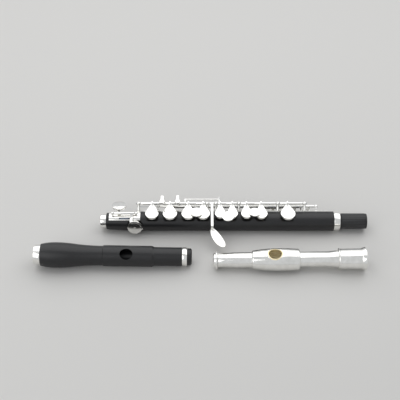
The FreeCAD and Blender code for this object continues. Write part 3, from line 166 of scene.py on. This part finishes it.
world = bpy.data.worlds.new("studio")
world.use_nodes = True
world.node_tree.nodes.clear()
ray = add_node(world, "ShaderNodeLightPath")
straight = add_node(world, "ShaderNodeMath", {"operation": "MAXIMUM"})
world.node_tree.links.new(ray.outputs["Is Camera Ray"], straight.inputs[0])
world.node_tree.links.new(ray.outputs["Is Glossy Ray"], straight.inputs[1])
seen = add_node(world, "ShaderNodeMath", {"operation": "MAXIMUM"})
world.node_tree.links.new(straight.outputs[0], seen.inputs[0])
world.node_tree.links.new(ray.outputs["Is Transmission Ray"], seen.inputs[1])
shed = add_node(world, "ShaderNodeBackground", Color=linear("#E6E8EC"), Strength=ROOM_LIGHT)
shown = add_node(world, "ShaderNodeBackground", Color=linear(BACKDROP), Strength=1.0)
both = add_node(world, "ShaderNodeMixShader", Fac=seen.outputs[0])
world.node_tree.links.new(shed.outputs[0], both.inputs[1])
world.node_tree.links.new(shown.outputs[0], both.inputs[2])
add_node(world, "ShaderNodeOutputWorld", Surface=both.outputs[0])
bpy.context.scene.world = world
print("backdrop", BACKDROP)


# %% [markdown]
# The joints lie on a plain pale board. It is a plane four metres wide, so that a camera looking
# down sees no edge of it, and only a very low one does. A pale grey is kinder to silver than white:
# the keys stay the brightest thing in the picture, and their shadows can be seen.

# %% Floor
FLOOR_COLOUR = "#DCDBD8"

bpy.ops.mesh.primitive_plane_add(size=4.0, location=(0.0, 0.0, 0.0))
floor = bpy.context.object
floor.name = "floor"
board = new_material("pale painted board")
matt = add_node(board, "ShaderNodeBsdfPrincipled", Base_Color=linear(FLOOR_COLOUR), Roughness=0.75)
add_node(board, "ShaderNodeOutputMaterial", Surface=matt.outputs[0])
floor.data.materials.append(board)
print("floor", FLOOR_COLOUR)


# %% [markdown]
# The black joints are turned from a composite of wood powder and resin and rubbed to a
# satin. It looks like close-grained ebony. A photograph of real wood could be wrapped on,
# but its grain would smear at the ends, so noise is used instead, stretched along X, the
# way the joint was turned.
#
# For the eye: charcoal black with fine lengthwise pores that catch a little light, broad
# patches that are rubbed a bit more or less, and a soft streak of light on top.

# %% Black composite
PORE_LENGTH = 6.0
PORE_WIDTH = 0.35
RUBBED_PATCH = 14.0


def black_composite():
    material = new_material("satin wood composite")
    place = add_node(material, "ShaderNodeTexCoord").outputs["Object"]
    along = add_node(material, "ShaderNodeMapping", Vector=place,
                     Scale=(per_mm(PORE_LENGTH), per_mm(PORE_WIDTH), per_mm(PORE_WIDTH)))
    pores = add_node(material, "ShaderNodeTexNoise", Vector=along.outputs[0], Scale=1.0,
                     Detail=4.0, Roughness=0.6)
    patches = add_node(material, "ShaderNodeTexNoise", Vector=place, Scale=per_mm(RUBBED_PATCH),
                       Detail=2.0)
    tone = add_node(material, "ShaderNodeValToRGB", {
        "color_ramp.elements[0].position": 0.35,
        "color_ramp.elements[0].color": linear("#0F0F11"),
        "color_ramp.elements[1].position": 0.72,
        "color_ramp.elements[1].color": linear("#1E1E20"),
    }, Fac=pores.outputs["Fac"])
    gloss = add_node(material, "ShaderNodeMapRange", Value=patches.outputs["Fac"],
                     To_Min=0.30, To_Max=0.42)
    bump = add_node(material, "ShaderNodeBump", Height=pores.outputs["Fac"], Strength=0.10,
                    Distance=0.05 * MM)
    shader = add_node(material, "ShaderNodeBsdfPrincipled", Base_Color=tone.outputs["Color"],
                      Roughness=gloss.outputs[0], Normal=bump.outputs[0], IOR=1.5)
    add_node(material, "ShaderNodeOutputMaterial", Surface=shader.outputs[0])
    return material


print("pores", PORE_LENGTH, "by", PORE_WIDTH, "mm, patches", RUBBED_PATCH, "mm")


# %% [markdown]
# Keys, posts and the silver head are nickel silver under polished silver plate. New plate
# is close to a mirror. A plain mirror looks like nothing but its room, though, and real
# plate is broken up by handling.
#
# For the eye: bright, slightly warm metal with a faint haze a few millimetres across where
# fingers have been, and hair-fine polishing lines that soften each reflection.

# %% Silver plate
HAZE_SIZE = 5.0
HAIR_LINE = 0.25
HAIR_LENGTH = 3.0


def silver_plate():
    material = new_material("polished silver plate")
    place = add_node(material, "ShaderNodeTexCoord").outputs["Object"]
    haze = add_node(material, "ShaderNodeTexNoise", Vector=place, Scale=per_mm(HAZE_SIZE),
                    Detail=3.0)
    tone = add_node(material, "ShaderNodeValToRGB", {
        "color_ramp.elements[0].position": 0.3,
        "color_ramp.elements[0].color": linear("#EAE9E5"),
        "color_ramp.elements[1].position": 0.7,
        "color_ramp.elements[1].color": linear("#F6F5F2"),
    }, Fac=haze.outputs["Fac"])
    gloss = add_node(material, "ShaderNodeMapRange", Value=haze.outputs["Fac"],
                     To_Min=0.10, To_Max=0.17)
    along = add_node(material, "ShaderNodeMapping", Vector=place,
                     Scale=(per_mm(HAIR_LENGTH), per_mm(HAIR_LINE), per_mm(HAIR_LINE)))
    lines = add_node(material, "ShaderNodeTexNoise", Vector=along.outputs[0], Scale=1.0, Detail=2.0)
    bump = add_node(material, "ShaderNodeBump", Height=lines.outputs["Fac"], Strength=0.05,
                    Distance=0.02 * MM)
    shader = add_node(material, "ShaderNodeBsdfPrincipled", Base_Color=tone.outputs["Color"],
                      Metallic=1.0, Roughness=gloss.outputs[0], Normal=bump.outputs[0])
    add_node(material, "ShaderNodeOutputMaterial", Surface=shader.outputs[0])
    return material


print("haze", HAZE_SIZE, "mm, hair lines", HAIR_LENGTH, "by", HAIR_LINE, "mm")


# %% [markdown]
# Hinge rods, springs and the stopper screws are drawn steel. It is harder and greyer than
# plate, and the die that it was pulled through leaves lines along the wire, so the same
# stretched noise is used, much finer.
#
# For the eye: cool mid grey, duller than the keys, with a streaky sheen along its length.

# %% Drawn steel
DIE_LINE = 0.12
DIE_LENGTH = 4.8


def drawn_steel():
    material = new_material("drawn steel wire")
    place = add_node(material, "ShaderNodeTexCoord").outputs["Object"]
    along = add_node(material, "ShaderNodeMapping", Vector=place,
                     Scale=(per_mm(DIE_LENGTH), per_mm(DIE_LINE), per_mm(DIE_LINE)))
    lines = add_node(material, "ShaderNodeTexNoise", Vector=along.outputs[0], Scale=1.0, Detail=3.0)
    tone = add_node(material, "ShaderNodeValToRGB", {
        "color_ramp.elements[0].position": 0.3,
        "color_ramp.elements[0].color": linear("#9C9DA0"),
        "color_ramp.elements[1].position": 0.7,
        "color_ramp.elements[1].color": linear("#C0C1C4"),
    }, Fac=lines.outputs["Fac"])
    gloss = add_node(material, "ShaderNodeMapRange", Value=lines.outputs["Fac"],
                     To_Min=0.24, To_Max=0.38)
    shader = add_node(material, "ShaderNodeBsdfPrincipled", Base_Color=tone.outputs["Color"],
                      Metallic=1.0, Roughness=gloss.outputs[0])
    add_node(material, "ShaderNodeOutputMaterial", Surface=shader.outputs[0])
    return material


print("die lines", DIE_LENGTH, "by", DIE_LINE, "mm")


# %% [markdown]
# Pads are felt discs wrapped in a thin skin, which yellows with use. Only their edges show
# under the cups, so what matters is the colour and a fine wrinkle.
#
# For the eye: warm cream to tan, a soft low gloss, and creases half a millimetre apart.

# %% Pad skin
SKIN_CLOUD = 2.5
SKIN_CREASE = 0.5


def pad_skin():
    material = new_material("thin skin over felt")
    place = add_node(material, "ShaderNodeTexCoord").outputs["Object"]
    cloud = add_node(material, "ShaderNodeTexNoise", Vector=place, Scale=per_mm(SKIN_CLOUD),
                     Detail=4.0)
    tone = add_node(material, "ShaderNodeValToRGB", {
        "color_ramp.elements[0].position": 0.3,
        "color_ramp.elements[0].color": linear("#C9AE84"),
        "color_ramp.elements[1].position": 0.7,
        "color_ramp.elements[1].color": linear("#E8D9BC"),
    }, Fac=cloud.outputs["Fac"])
    creases = add_node(material, "ShaderNodeTexNoise", Vector=place, Scale=per_mm(SKIN_CREASE),
                       Detail=3.0)
    bump = add_node(material, "ShaderNodeBump", Height=creases.outputs["Fac"], Strength=0.25,
                    Distance=0.08 * MM)
    shader = add_node(material, "ShaderNodeBsdfPrincipled", Base_Color=tone.outputs["Color"],
                      Roughness=0.48, Normal=bump.outputs[0])
    add_node(material, "ShaderNodeOutputMaterial", Surface=shader.outputs[0])
    return material


print("clouds", SKIN_CLOUD, "mm, creases", SKIN_CREASE, "mm")


# %% [markdown]
# Cork is a mass of small cells with darker flecks between them. Round the tenon it is
# blackened and greased, and inside each head a natural cork stops the bore. One recipe
# serves both: cells from a Voronoi texture for the grain, and bands of noise for the wear.
#
# For the eye: grains just under a millimetre, a soft surface, and on the tenon grey streaks
# lengthwise, where the joint has been pushed home.

# %% Cork
CORK_GRAIN = 0.9
WEAR_BAND = 1.6
WEAR_LENGTH = 40.0


def cork(name, dark, light, fleck, roughness):
    material = new_material(name)
    place = add_node(material, "ShaderNodeTexCoord").outputs["Object"]
    grains = add_node(material, "ShaderNodeTexVoronoi", Vector=place, Scale=per_mm(CORK_GRAIN))
    tone = add_node(material, "ShaderNodeValToRGB", {
        "color_ramp.elements[0].position": 0.0,
        "color_ramp.elements[0].color": linear(light),
        "color_ramp.elements[1].position": 1.0,
        "color_ramp.elements[1].color": linear(dark),
    }, Fac=grains.outputs["Distance"])
    banded = add_node(material, "ShaderNodeMapping", Vector=place,
                      Scale=(per_mm(WEAR_LENGTH), per_mm(WEAR_BAND), per_mm(WEAR_BAND)))
    bands = add_node(material, "ShaderNodeTexNoise", Vector=banded.outputs[0], Scale=1.0,
                     Detail=2.0)
    wear = add_node(material, "ShaderNodeMapRange", Value=bands.outputs["Fac"], From_Min=0.40,
                    From_Max=0.65, To_Min=0.0, To_Max=0.8)
    # A Mix node set to colours has them in its sockets 6 and 7, which share names with others.
    mixed = add_node(material, "ShaderNodeMix", {"data_type": "RGBA"}, Factor=wear.outputs[0])
    material.node_tree.links.new(tone.outputs["Color"], mixed.inputs[6])
    mixed.inputs[7].default_value = linear(fleck)
    bump = add_node(material, "ShaderNodeBump", Height=grains.outputs["Distance"], Strength=0.3,
                    Distance=0.08 * MM)
    shader = add_node(material, "ShaderNodeBsdfPrincipled", Base_Color=mixed.outputs[2],
                      Roughness=roughness, Normal=bump.outputs[0])
    add_node(material, "ShaderNodeOutputMaterial", Surface=shader.outputs[0])
    return material


print("grain", CORK_GRAIN, "mm, streaks", WEAR_LENGTH, "by", WEAR_BAND, "mm")


# %% [markdown]
# The riser is the chimney between the lip plate and the tube, and the player's air breaks
# on its edge. Here it is gold plated, a thin pale gold over silver.
#
# For the eye: warmer than the plate round it and as bright, a little hazy deep in the
# hole, so that it reads as an even pale gold ring.

# %% Gold plate
GOLD_HAZE = 3.0


def gold_plate():
    material = new_material("pale gold plate")
    place = add_node(material, "ShaderNodeTexCoord").outputs["Object"]
    haze = add_node(material, "ShaderNodeTexNoise", Vector=place, Scale=per_mm(GOLD_HAZE),
                    Detail=2.0)
    tone = add_node(material, "ShaderNodeValToRGB", {
        "color_ramp.elements[0].position": 0.2,
        "color_ramp.elements[0].color": linear("#EBDCB2"),
        "color_ramp.elements[1].position": 0.8,
        "color_ramp.elements[1].color": linear("#F6ECD0"),
    }, Fac=haze.outputs["Fac"])
    gloss = add_node(material, "ShaderNodeMapRange", Value=haze.outputs["Fac"],
                     To_Min=0.52, To_Max=0.64)
    shader = add_node(material, "ShaderNodeBsdfPrincipled", Base_Color=tone.outputs["Color"],
                      Metallic=1.0, Roughness=gloss.outputs[0])
    add_node(material, "ShaderNodeOutputMaterial", Surface=shader.outputs[0])
    return material


print("gold haze", GOLD_HAZE, "mm")


# %% [markdown]
# The small leaf spring under a key is lightly blued: steel heated until an oxide film tints
# it, which keeps it from rusting. The film is thin, so it is drawn as metal with a cloudy
# colour and not as paint.
#
# For the eye: a thin grey line with a cool glint in the slot of the foot plate.

# %% Blued steel
BLUE_CLOUD = 1.5


def blued_steel():
    material = new_material("blued spring steel")
    place = add_node(material, "ShaderNodeTexCoord").outputs["Object"]
    cloud = add_node(material, "ShaderNodeTexNoise", Vector=place, Scale=per_mm(BLUE_CLOUD),
                     Detail=2.0)
    tone = add_node(material, "ShaderNodeValToRGB", {
        "color_ramp.elements[0].position": 0.3,
        "color_ramp.elements[0].color": linear("#5C636E"),
        "color_ramp.elements[1].position": 0.7,
        "color_ramp.elements[1].color": linear("#8A929E"),
    }, Fac=cloud.outputs["Fac"])
    shader = add_node(material, "ShaderNodeBsdfPrincipled", Base_Color=tone.outputs["Color"],
                      Metallic=1.0, Roughness=0.3)
    add_node(material, "ShaderNodeOutputMaterial", Surface=shader.outputs[0])
    return material


print("blue clouds", BLUE_CLOUD, "mm")


# %% [markdown]
# The silver head's bore was drawn over a mandrel and never buffed, and the gold of the riser shines
# into it; that warm light is painted into the bore's colour as a cream tint. Left as bright as the
# outside, it would mirror black and white patches up through the blow hole, where the picture shows
# one even pale tone.
#
# For the eye: a dull metal, warmed by a painted reflection of the gold riser, one even tone down in
# the blow hole.

# %% Drawn bore with a painted gold reflection
BORE_HAZE = 2.0


def drawn_bore_painted_gold_reflection():
    material = new_material("drawn silver bore with painted gold reflection")
    place = add_node(material, "ShaderNodeTexCoord").outputs["Object"]
    haze = add_node(material, "ShaderNodeTexNoise", Vector=place, Scale=per_mm(BORE_HAZE),
                    Detail=2.0)
    # The cream tint of these two colours is a painted reflection of the gold riser; only the dull
    # haze is the drawn silver's own.
    tone = add_node(material, "ShaderNodeValToRGB", {
        "color_ramp.elements[0].position": 0.2,
        "color_ramp.elements[0].color": linear("#F1EAD2"),
        "color_ramp.elements[1].position": 0.8,
        "color_ramp.elements[1].color": linear("#F9F4E4"),
    }, Fac=haze.outputs["Fac"])
    gloss = add_node(material, "ShaderNodeMapRange", Value=haze.outputs["Fac"],
                     To_Min=0.62, To_Max=0.74)
    shader = add_node(material, "ShaderNodeBsdfPrincipled", Base_Color=tone.outputs["Color"],
                      Metallic=1.0, Roughness=gloss.outputs[0])
    add_node(material, "ShaderNodeOutputMaterial", Surface=shader.outputs[0])
    return material


print("bore haze", BORE_HAZE, "mm")


# %% [markdown]
# Each solid came with the name of its finish. A material is put on by clearing the
# object's slots and adding the new one. Every solid gets one, the unseen ones too, so that
# none keeps the plain colour that it was loaded with.

# %% Finishes on the solids
FINISHES = {
    "black_composite": black_composite(),
    "silver_plate": silver_plate(),
    "steel": drawn_steel(),
    "pad_skin": pad_skin(),
    "black_cork": cork("blackened cork", "#121213", "#262627", "#3A3A3C", 0.5),
    "cork": cork("natural cork", "#8A6238", "#C79A63", "#A87C4A", 0.8),
    "gold_plate": gold_plate(),
}
BLUED = blued_steel()
BORE_PAINTED_GOLD_REFLECTION = drawn_bore_painted_gold_reflection()


def dress(piece, finish):
    """Give a piece one finish in place of what it had."""
    piece.data.materials.clear()
    piece.data.materials.append(finish)


for name, node in nodes.items():
    dress(node, FINISHES[slot_of_node[name]])
print(len(FINISHES), "finishes on", len(nodes), "solids")


# %% [markdown]
# Machined and soldered metal never has a knife edge: buffing rounds every corner by a
# tenth of a millimetre or two, and that thin round is what flashes in the light. Smooth
# shading alone can't show it, so each plated solid gets a copy with rounded edges, and so
# do the pads and corks, whose rims are softer still.
#
# The copy starts as loose triangles. Doubles are merged, and flat areas are dissolved to
# single faces, because the Bevel modifier needs real edges between real faces.

# %% A copy with joined faces
MERGE_GAP = 0.002 * MM
FLAT_ANGLE = math.radians(1.0)


def make_active(piece):
    """Select this piece and nothing else."""
    bpy.ops.object.select_all(action="DESELECT")
    piece.select_set(True)
    bpy.context.view_layer.objects.active = piece


def merged_copy(node_name, name):
    """A copy of a measured solid with its loose triangles joined up."""
    piece = nodes[node_name].copy()
    piece.data = nodes[node_name].data.copy()
    piece.name = name
    for key in list(piece.keys()):
        del piece[key]
    piece.parent = None
    bpy.context.scene.collection.objects.link(piece)
    make_active(piece)
    bpy.ops.object.mode_set(mode="EDIT")
    bpy.ops.mesh.select_all(action="SELECT")
    bpy.ops.mesh.remove_doubles(threshold=MERGE_GAP)
    bpy.ops.mesh.dissolve_limited(angle_limit=FLAT_ANGLE)
    bpy.ops.object.mode_set(mode="OBJECT")
    return piece


# %% [markdown]
# The Bevel modifier rounds each edge that turns more than the set angle, which finds rims
# and corners and leaves the facets of round tubes alone. The edges could be picked by hand
# instead, but there are hundreds. Overlap is clamped, so that a bevel never runs past a
# thin arm.

# %% Rounding edges
EDGE_ANGLE = math.radians(28.0)
SMOOTH_ANGLE = math.radians(35.0)


def round_edges(piece, width_mm, segments=2):
    """Bevel the sharp edges and smooth what is left."""
    make_active(piece)
    bevel = piece.modifiers.new("buffed edges", "BEVEL")
    bevel.width = width_mm * MM
    bevel.segments = segments
    bevel.limit_method = "ANGLE"
    bevel.angle_limit = EDGE_ANGLE
    bevel.use_clamp_overlap = True
    bpy.ops.object.modifier_apply(modifier=bevel.name)
    bpy.ops.object.shade_smooth_by_angle(angle=SMOOTH_ANGLE)


def stand_for(piece, node_name):
    """Let a finished piece take a solid's place, body and finish."""
    slot = slot_of_node[node_name]
    dress(piece, FINISHES[slot])
    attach(piece, body_of_node[node_name])
    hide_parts(node_name)


# %% [markdown]
# The plated pieces, all the silver ones and the gold riser, are the ones that need it most.
# A seventh of a millimetre is what a buffing wheel takes from an edge, and it is small
# enough for the thinnest arm.

# %% Plated pieces with buffed edges
BUFFED = 0.14

plated = [name for name, slot in slot_of_node.items() if slot in ("silver_plate", "gold_plate")]
for node_name in plated:
    piece = merged_copy(node_name, node_name + "_buffed")
    round_edges(piece, BUFFED)
    stand_for(piece, node_name)
print(len(plated), "plated pieces buffed")


# %% [markdown]
# One piece needs two finishes: the silver head's tube is buffed outside and left as drawn inside,
# where its warm tint is a painted reflection of the gold riser. A second slot holds the inner
# finish, and the faces that look towards the tube's own axis are given to it. Their normals tell
# them apart, so none is picked by hand: the cosine between a face's normal and the way out from the
# axis is below minus a half.

# %% Inside of the silver head
INWARD = -0.5

low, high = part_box("metal_head_tube")
tube_axis = [(low[i] + high[i]) / 2 for i in range(3)]
head = bpy.data.objects["metal_head_tube_buffed"]
# The second slot holds the dull bore finish with its painted warm reflection of the gold riser.
head.data.materials.append(BORE_PAINTED_GOLD_REFLECTION)
inner = 0
for face in head.data.polygons:
    outward = Vector((0.0, face.center.y - tube_axis[1], face.center.z - tube_axis[2]))
    if face.normal.dot(outward) < INWARD * outward.length:
        face.material_index = 1
        inner += 1
print(inner, "faces of the bore left as drawn")


# %% [markdown]
# A pad is felt in a skin, pressed into its cup, so its rim is round. Each copy of the disc is
# bevelled generously, in three steps.

# %% Pads
PAD_ROUND = 0.45

pads = [name for name, slot in slot_of_node.items() if slot == "pad_skin"]
for node_name in pads:
    pad = merged_copy(node_name, node_name + "_skin")
    round_edges(pad, PAD_ROUND, segments=3)
    stand_for(pad, node_name)
print(len(pads), "pads")


# %% [markdown]
# Corks are sanded to size, which leaves their rims soft. The tenon's cork shows at the
# right end of the body joint. The two stoppers sit inside the heads, where only a look
# down the bore finds them.

# %% Corks
CORK_ROUND = 0.2

corks = [name for name, slot in slot_of_node.items() if slot in ("black_cork", "cork")]
for node_name in corks:
    piece = merged_copy(node_name, node_name + "_sanded")
    round_edges(piece, CORK_ROUND)
    stand_for(piece, node_name)
print(len(corks), "corks")


# %% [markdown]
# Small slotted screws hold the keywork together. Here they close the main rod at its two
# outer ends and fix the rib that carries the posts. One screw is made in full: a short
# cylinder whose rim is bevelled to a dome, with a slot cut by a bar. The slot could be
# pushed in by hand in edit mode, but a Boolean cuts it clean through both rims, as a saw
# does. The slot's width and depth are shares of the radius, so that any size is cut alike.

# %% One slotted screw
SCREW_RADIUS = 1.0
SCREW_HEIGHT = 0.5
SLOT_WIDTH = 0.26
SLOT_DEPTH = 0.22
DOME_SHARE = 0.6
SAW_LENGTH = 3


def cut_slot(screw, radius, height):
    """Saw a slot across the top of a screw head that stands on the origin."""
    bpy.ops.object.select_all(action="DESELECT")
    bpy.ops.mesh.primitive_cube_add(size=1.0, location=(0.0, 0.0, height * MM))
    saw = bpy.context.object
    saw.scale = (SAW_LENGTH * radius * MM, SLOT_WIDTH * radius * MM, SLOT_DEPTH * 2 * radius * MM)
    bpy.ops.object.transform_apply(location=True, rotation=False, scale=True)
    make_active(screw)
    cut = screw.modifiers.new("slot", "BOOLEAN")
    cut.operation = "DIFFERENCE"
    cut.object = saw
    bpy.ops.object.modifier_apply(modifier=cut.name)
    make_active(saw)
    bpy.ops.object.delete()


def make_screw(name, radius, height):
    """A domed, slotted head that stands on the origin and faces up."""
    bpy.ops.object.select_all(action="DESELECT")
    bpy.ops.mesh.primitive_cylinder_add(vertices=32, radius=radius * MM, depth=height * MM,
                                        location=(0.0, 0.0, height * MM / 2))
    screw = bpy.context.object
    screw.name = name
    bpy.ops.object.transform_apply(location=True, rotation=False, scale=False)
    bpy.ops.object.mode_set(mode="EDIT")
    bpy.ops.mesh.select_mode(type="EDGE")
    bpy.ops.mesh.select_all(action="DESELECT")
    bpy.ops.object.mode_set(mode="OBJECT")
    for vertex in screw.data.vertices:
        vertex.select = vertex.co.z > height * MM / 2
    for edge in screw.data.edges:
        edge.select = all(screw.data.vertices[end].select for end in edge.vertices)
    bpy.ops.object.mode_set(mode="EDIT")
    bpy.ops.mesh.bevel(offset=DOME_SHARE * height * MM, segments=3, profile=0.5)
    bpy.ops.object.mode_set(mode="OBJECT")
    cut_slot(screw, radius, height)
    make_active(screw)
    bpy.ops.object.shade_smooth_by_angle(angle=SMOOTH_ANGLE)
    return screw


model_screw = make_screw("model_screw", SCREW_RADIUS, SCREW_HEIGHT)
print("screw head", len(model_screw.data.polygons), "faces")


# %% [markdown]
# The screw is modelled once and copied, each copy with its own mesh. A copy is scaled,
# turned to face its own way, moved to its place, and then all that is applied, so that
# every object stays at the origin with its place in its mesh, as the measured solids have
# theirs.

# %% Copies of the screw
def place_screw(name, body, place, facing, radius):
    """A copy of the screw head at a place in millimetres, facing a direction."""
    screw = model_screw.copy()
    screw.data = model_screw.data.copy()
    screw.name = name
    bpy.context.scene.collection.objects.link(screw)
    make_active(screw)
    screw.scale = [radius / SCREW_RADIUS] * 3
    screw.rotation_euler = Vector(facing).to_track_quat("Z", "Y").to_euler()
    screw.location = Vector(place) * MM
    bpy.ops.object.transform_apply(location=True, rotation=True, scale=True)
    dress(screw, FINISHES["steel"])
    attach(screw, body)


# %% [markdown]
# A steel ends where its box ends along X, and its axis is the middle of that box, so a
# head is placed from the solid itself and follows it if a length changes. The main steels
# stand end to end, with no room for a head between them, so only the two ends that face the
# open are given one: the left end of the first and the right end of the last.

# %% Heads on the hinge steels
def head_a_steel(node_name, side, facing):
    """A screw head at a steel's low (0) or high (1) end along X."""
    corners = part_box(node_name)
    across, up = [(corners[0][i] + corners[1][i]) / 2 / MM for i in (1, 2)]
    radius = (corners[1][2] - corners[0][2]) / 2 / MM
    name = node_name + ("_left_head", "_right_head")[side]
    place_screw(name, body_of_node[node_name], (corners[side][0] / MM, across, up), facing, radius)
    print(name, "radius", round(radius, 2), "mm")


head_a_steel("right_hand_steel", 0, (-1.0, 0.0, 0.0))
head_a_steel("c_key_steel", 1, (1.0, 0.0, 0.0))


# %% [markdown]
# The rib is a long silver strip on the body, held by small screws between the posts.
# Its face leans back towards the hinge line, so the heads face that way too. The model
# screw has then served, and is deleted.

# %% Screws along the rib
RIB_SCREWS = (-42.0, -24.0, 20.0, 46.0, 74.0, 100.0)
RIB_SCREW_RADIUS = 0.55
RIB_FACE_ACROSS = 22.97
RIB_FACE_UP = 15.46
RIB_FACING = (0.0, 0.573, 0.819)

for number, along in enumerate(RIB_SCREWS, start=1):
    place_screw("rib_screw_" + str(number), body_of_node["key_rib"],
                (along, RIB_FACE_ACROSS, RIB_FACE_UP), RIB_FACING, RIB_SCREW_RADIUS)
make_active(model_screw)
bpy.ops.object.delete()
print(len(RIB_SCREWS), "rib screws")


# %% [markdown]
# In the slot of the foot plate lies the leaf spring that holds the E flat key shut. It is a
# strip of blued steel, wider at its foot, that rises a little towards its free end. It is
# made flat, a distance above the origin, where a plane is easily stretched and its end edge
# narrowed and lifted. Then it is swung about the bore's axis to the slot, which is simpler
# than building it at a slant. Solidify gives it thickness and Bevel its soft edges.

# %% Leaf spring in the foot plate
SPRING_START = -69.7
SPRING_END = -61.6
SPRING_WIDTH = 1.1
SPRING_TIP_SHARE = 0.7
SPRING_THICKNESS = 0.16
SPRING_SOFTNESS = 0.04
SPRING_FOOT_REACH = 7.75
SPRING_TIP_RISE = 0.4
SLOT_ANGLE = math.radians(30.5)
BORE_AXIS = Vector((0.0, 17.91, 8.12))


def make_leaf_strip():
    """A flat tapering strip over the origin, its free end to the right and lifted."""
    bpy.ops.object.select_all(action="DESELECT")
    middle = ((SPRING_START + SPRING_END) / 2 * MM, 0.0, SPRING_FOOT_REACH * MM)
    bpy.ops.mesh.primitive_plane_add(size=1.0, location=middle)
    strip = bpy.context.object
    strip.name = "e_flat_leaf_spring"
    strip.scale = ((SPRING_END - SPRING_START) * MM, SPRING_WIDTH * MM, 1.0)
    bpy.ops.object.transform_apply(location=True, rotation=False, scale=True)
    bpy.ops.object.mode_set(mode="EDIT")
    bpy.ops.mesh.select_mode(type="VERT")
    bpy.ops.mesh.select_all(action="DESELECT")
    bpy.ops.object.mode_set(mode="OBJECT")
    for vertex in strip.data.vertices:
        vertex.select = vertex.co.x > middle[0]
    bpy.ops.object.mode_set(mode="EDIT")
    bpy.ops.transform.resize(value=(1.0, SPRING_TIP_SHARE, 1.0))
    bpy.ops.transform.translate(value=(0.0, 0.0, SPRING_TIP_RISE * MM))
    bpy.ops.object.mode_set(mode="OBJECT")
    return strip


# %% [markdown]
# The strip is swung and moved as a whole, then that is applied, so that the object stays at
# the origin. It rides with the foot plate, which belongs to the body joint.

# %% Spring in its slot
leaf_spring = make_leaf_strip()
make_active(leaf_spring)
leaf_spring.rotation_euler = (SLOT_ANGLE, 0.0, 0.0)
leaf_spring.location = BORE_AXIS * MM
bpy.ops.object.transform_apply(location=True, rotation=True, scale=False)
thick = leaf_spring.modifiers.new("thickness", "SOLIDIFY")
thick.thickness = SPRING_THICKNESS * MM
bpy.ops.object.modifier_apply(modifier=thick.name)
round_edges(leaf_spring, SPRING_SOFTNESS)
dress(leaf_spring, BLUED)
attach(leaf_spring, body_of_node["foot_key_plate"])
print("leaf spring", round(SPRING_END - SPRING_START, 1), "mm long")


# %% [markdown]
# What hasn't been replaced, the turned wood and the plain rods, only needs smooth shading.
# Smoothing by angle keeps the rims crisp and lets the round sides read as round.

# %% Smooth the solids that stay
kept = [node for node in nodes.values() if not node.hide_render]
for node in kept:
    make_active(node)
    bpy.ops.object.shade_smooth_by_angle(angle=SMOOTH_ANGLE)
bpy.ops.object.select_all(action="DESELECT")
print(len(kept), "solids kept as measured")


# %% [markdown]
# Last, colours are shown as written, with no film look.

# %% Colour view
bpy.context.scene.view_settings.view_transform = "Standard"
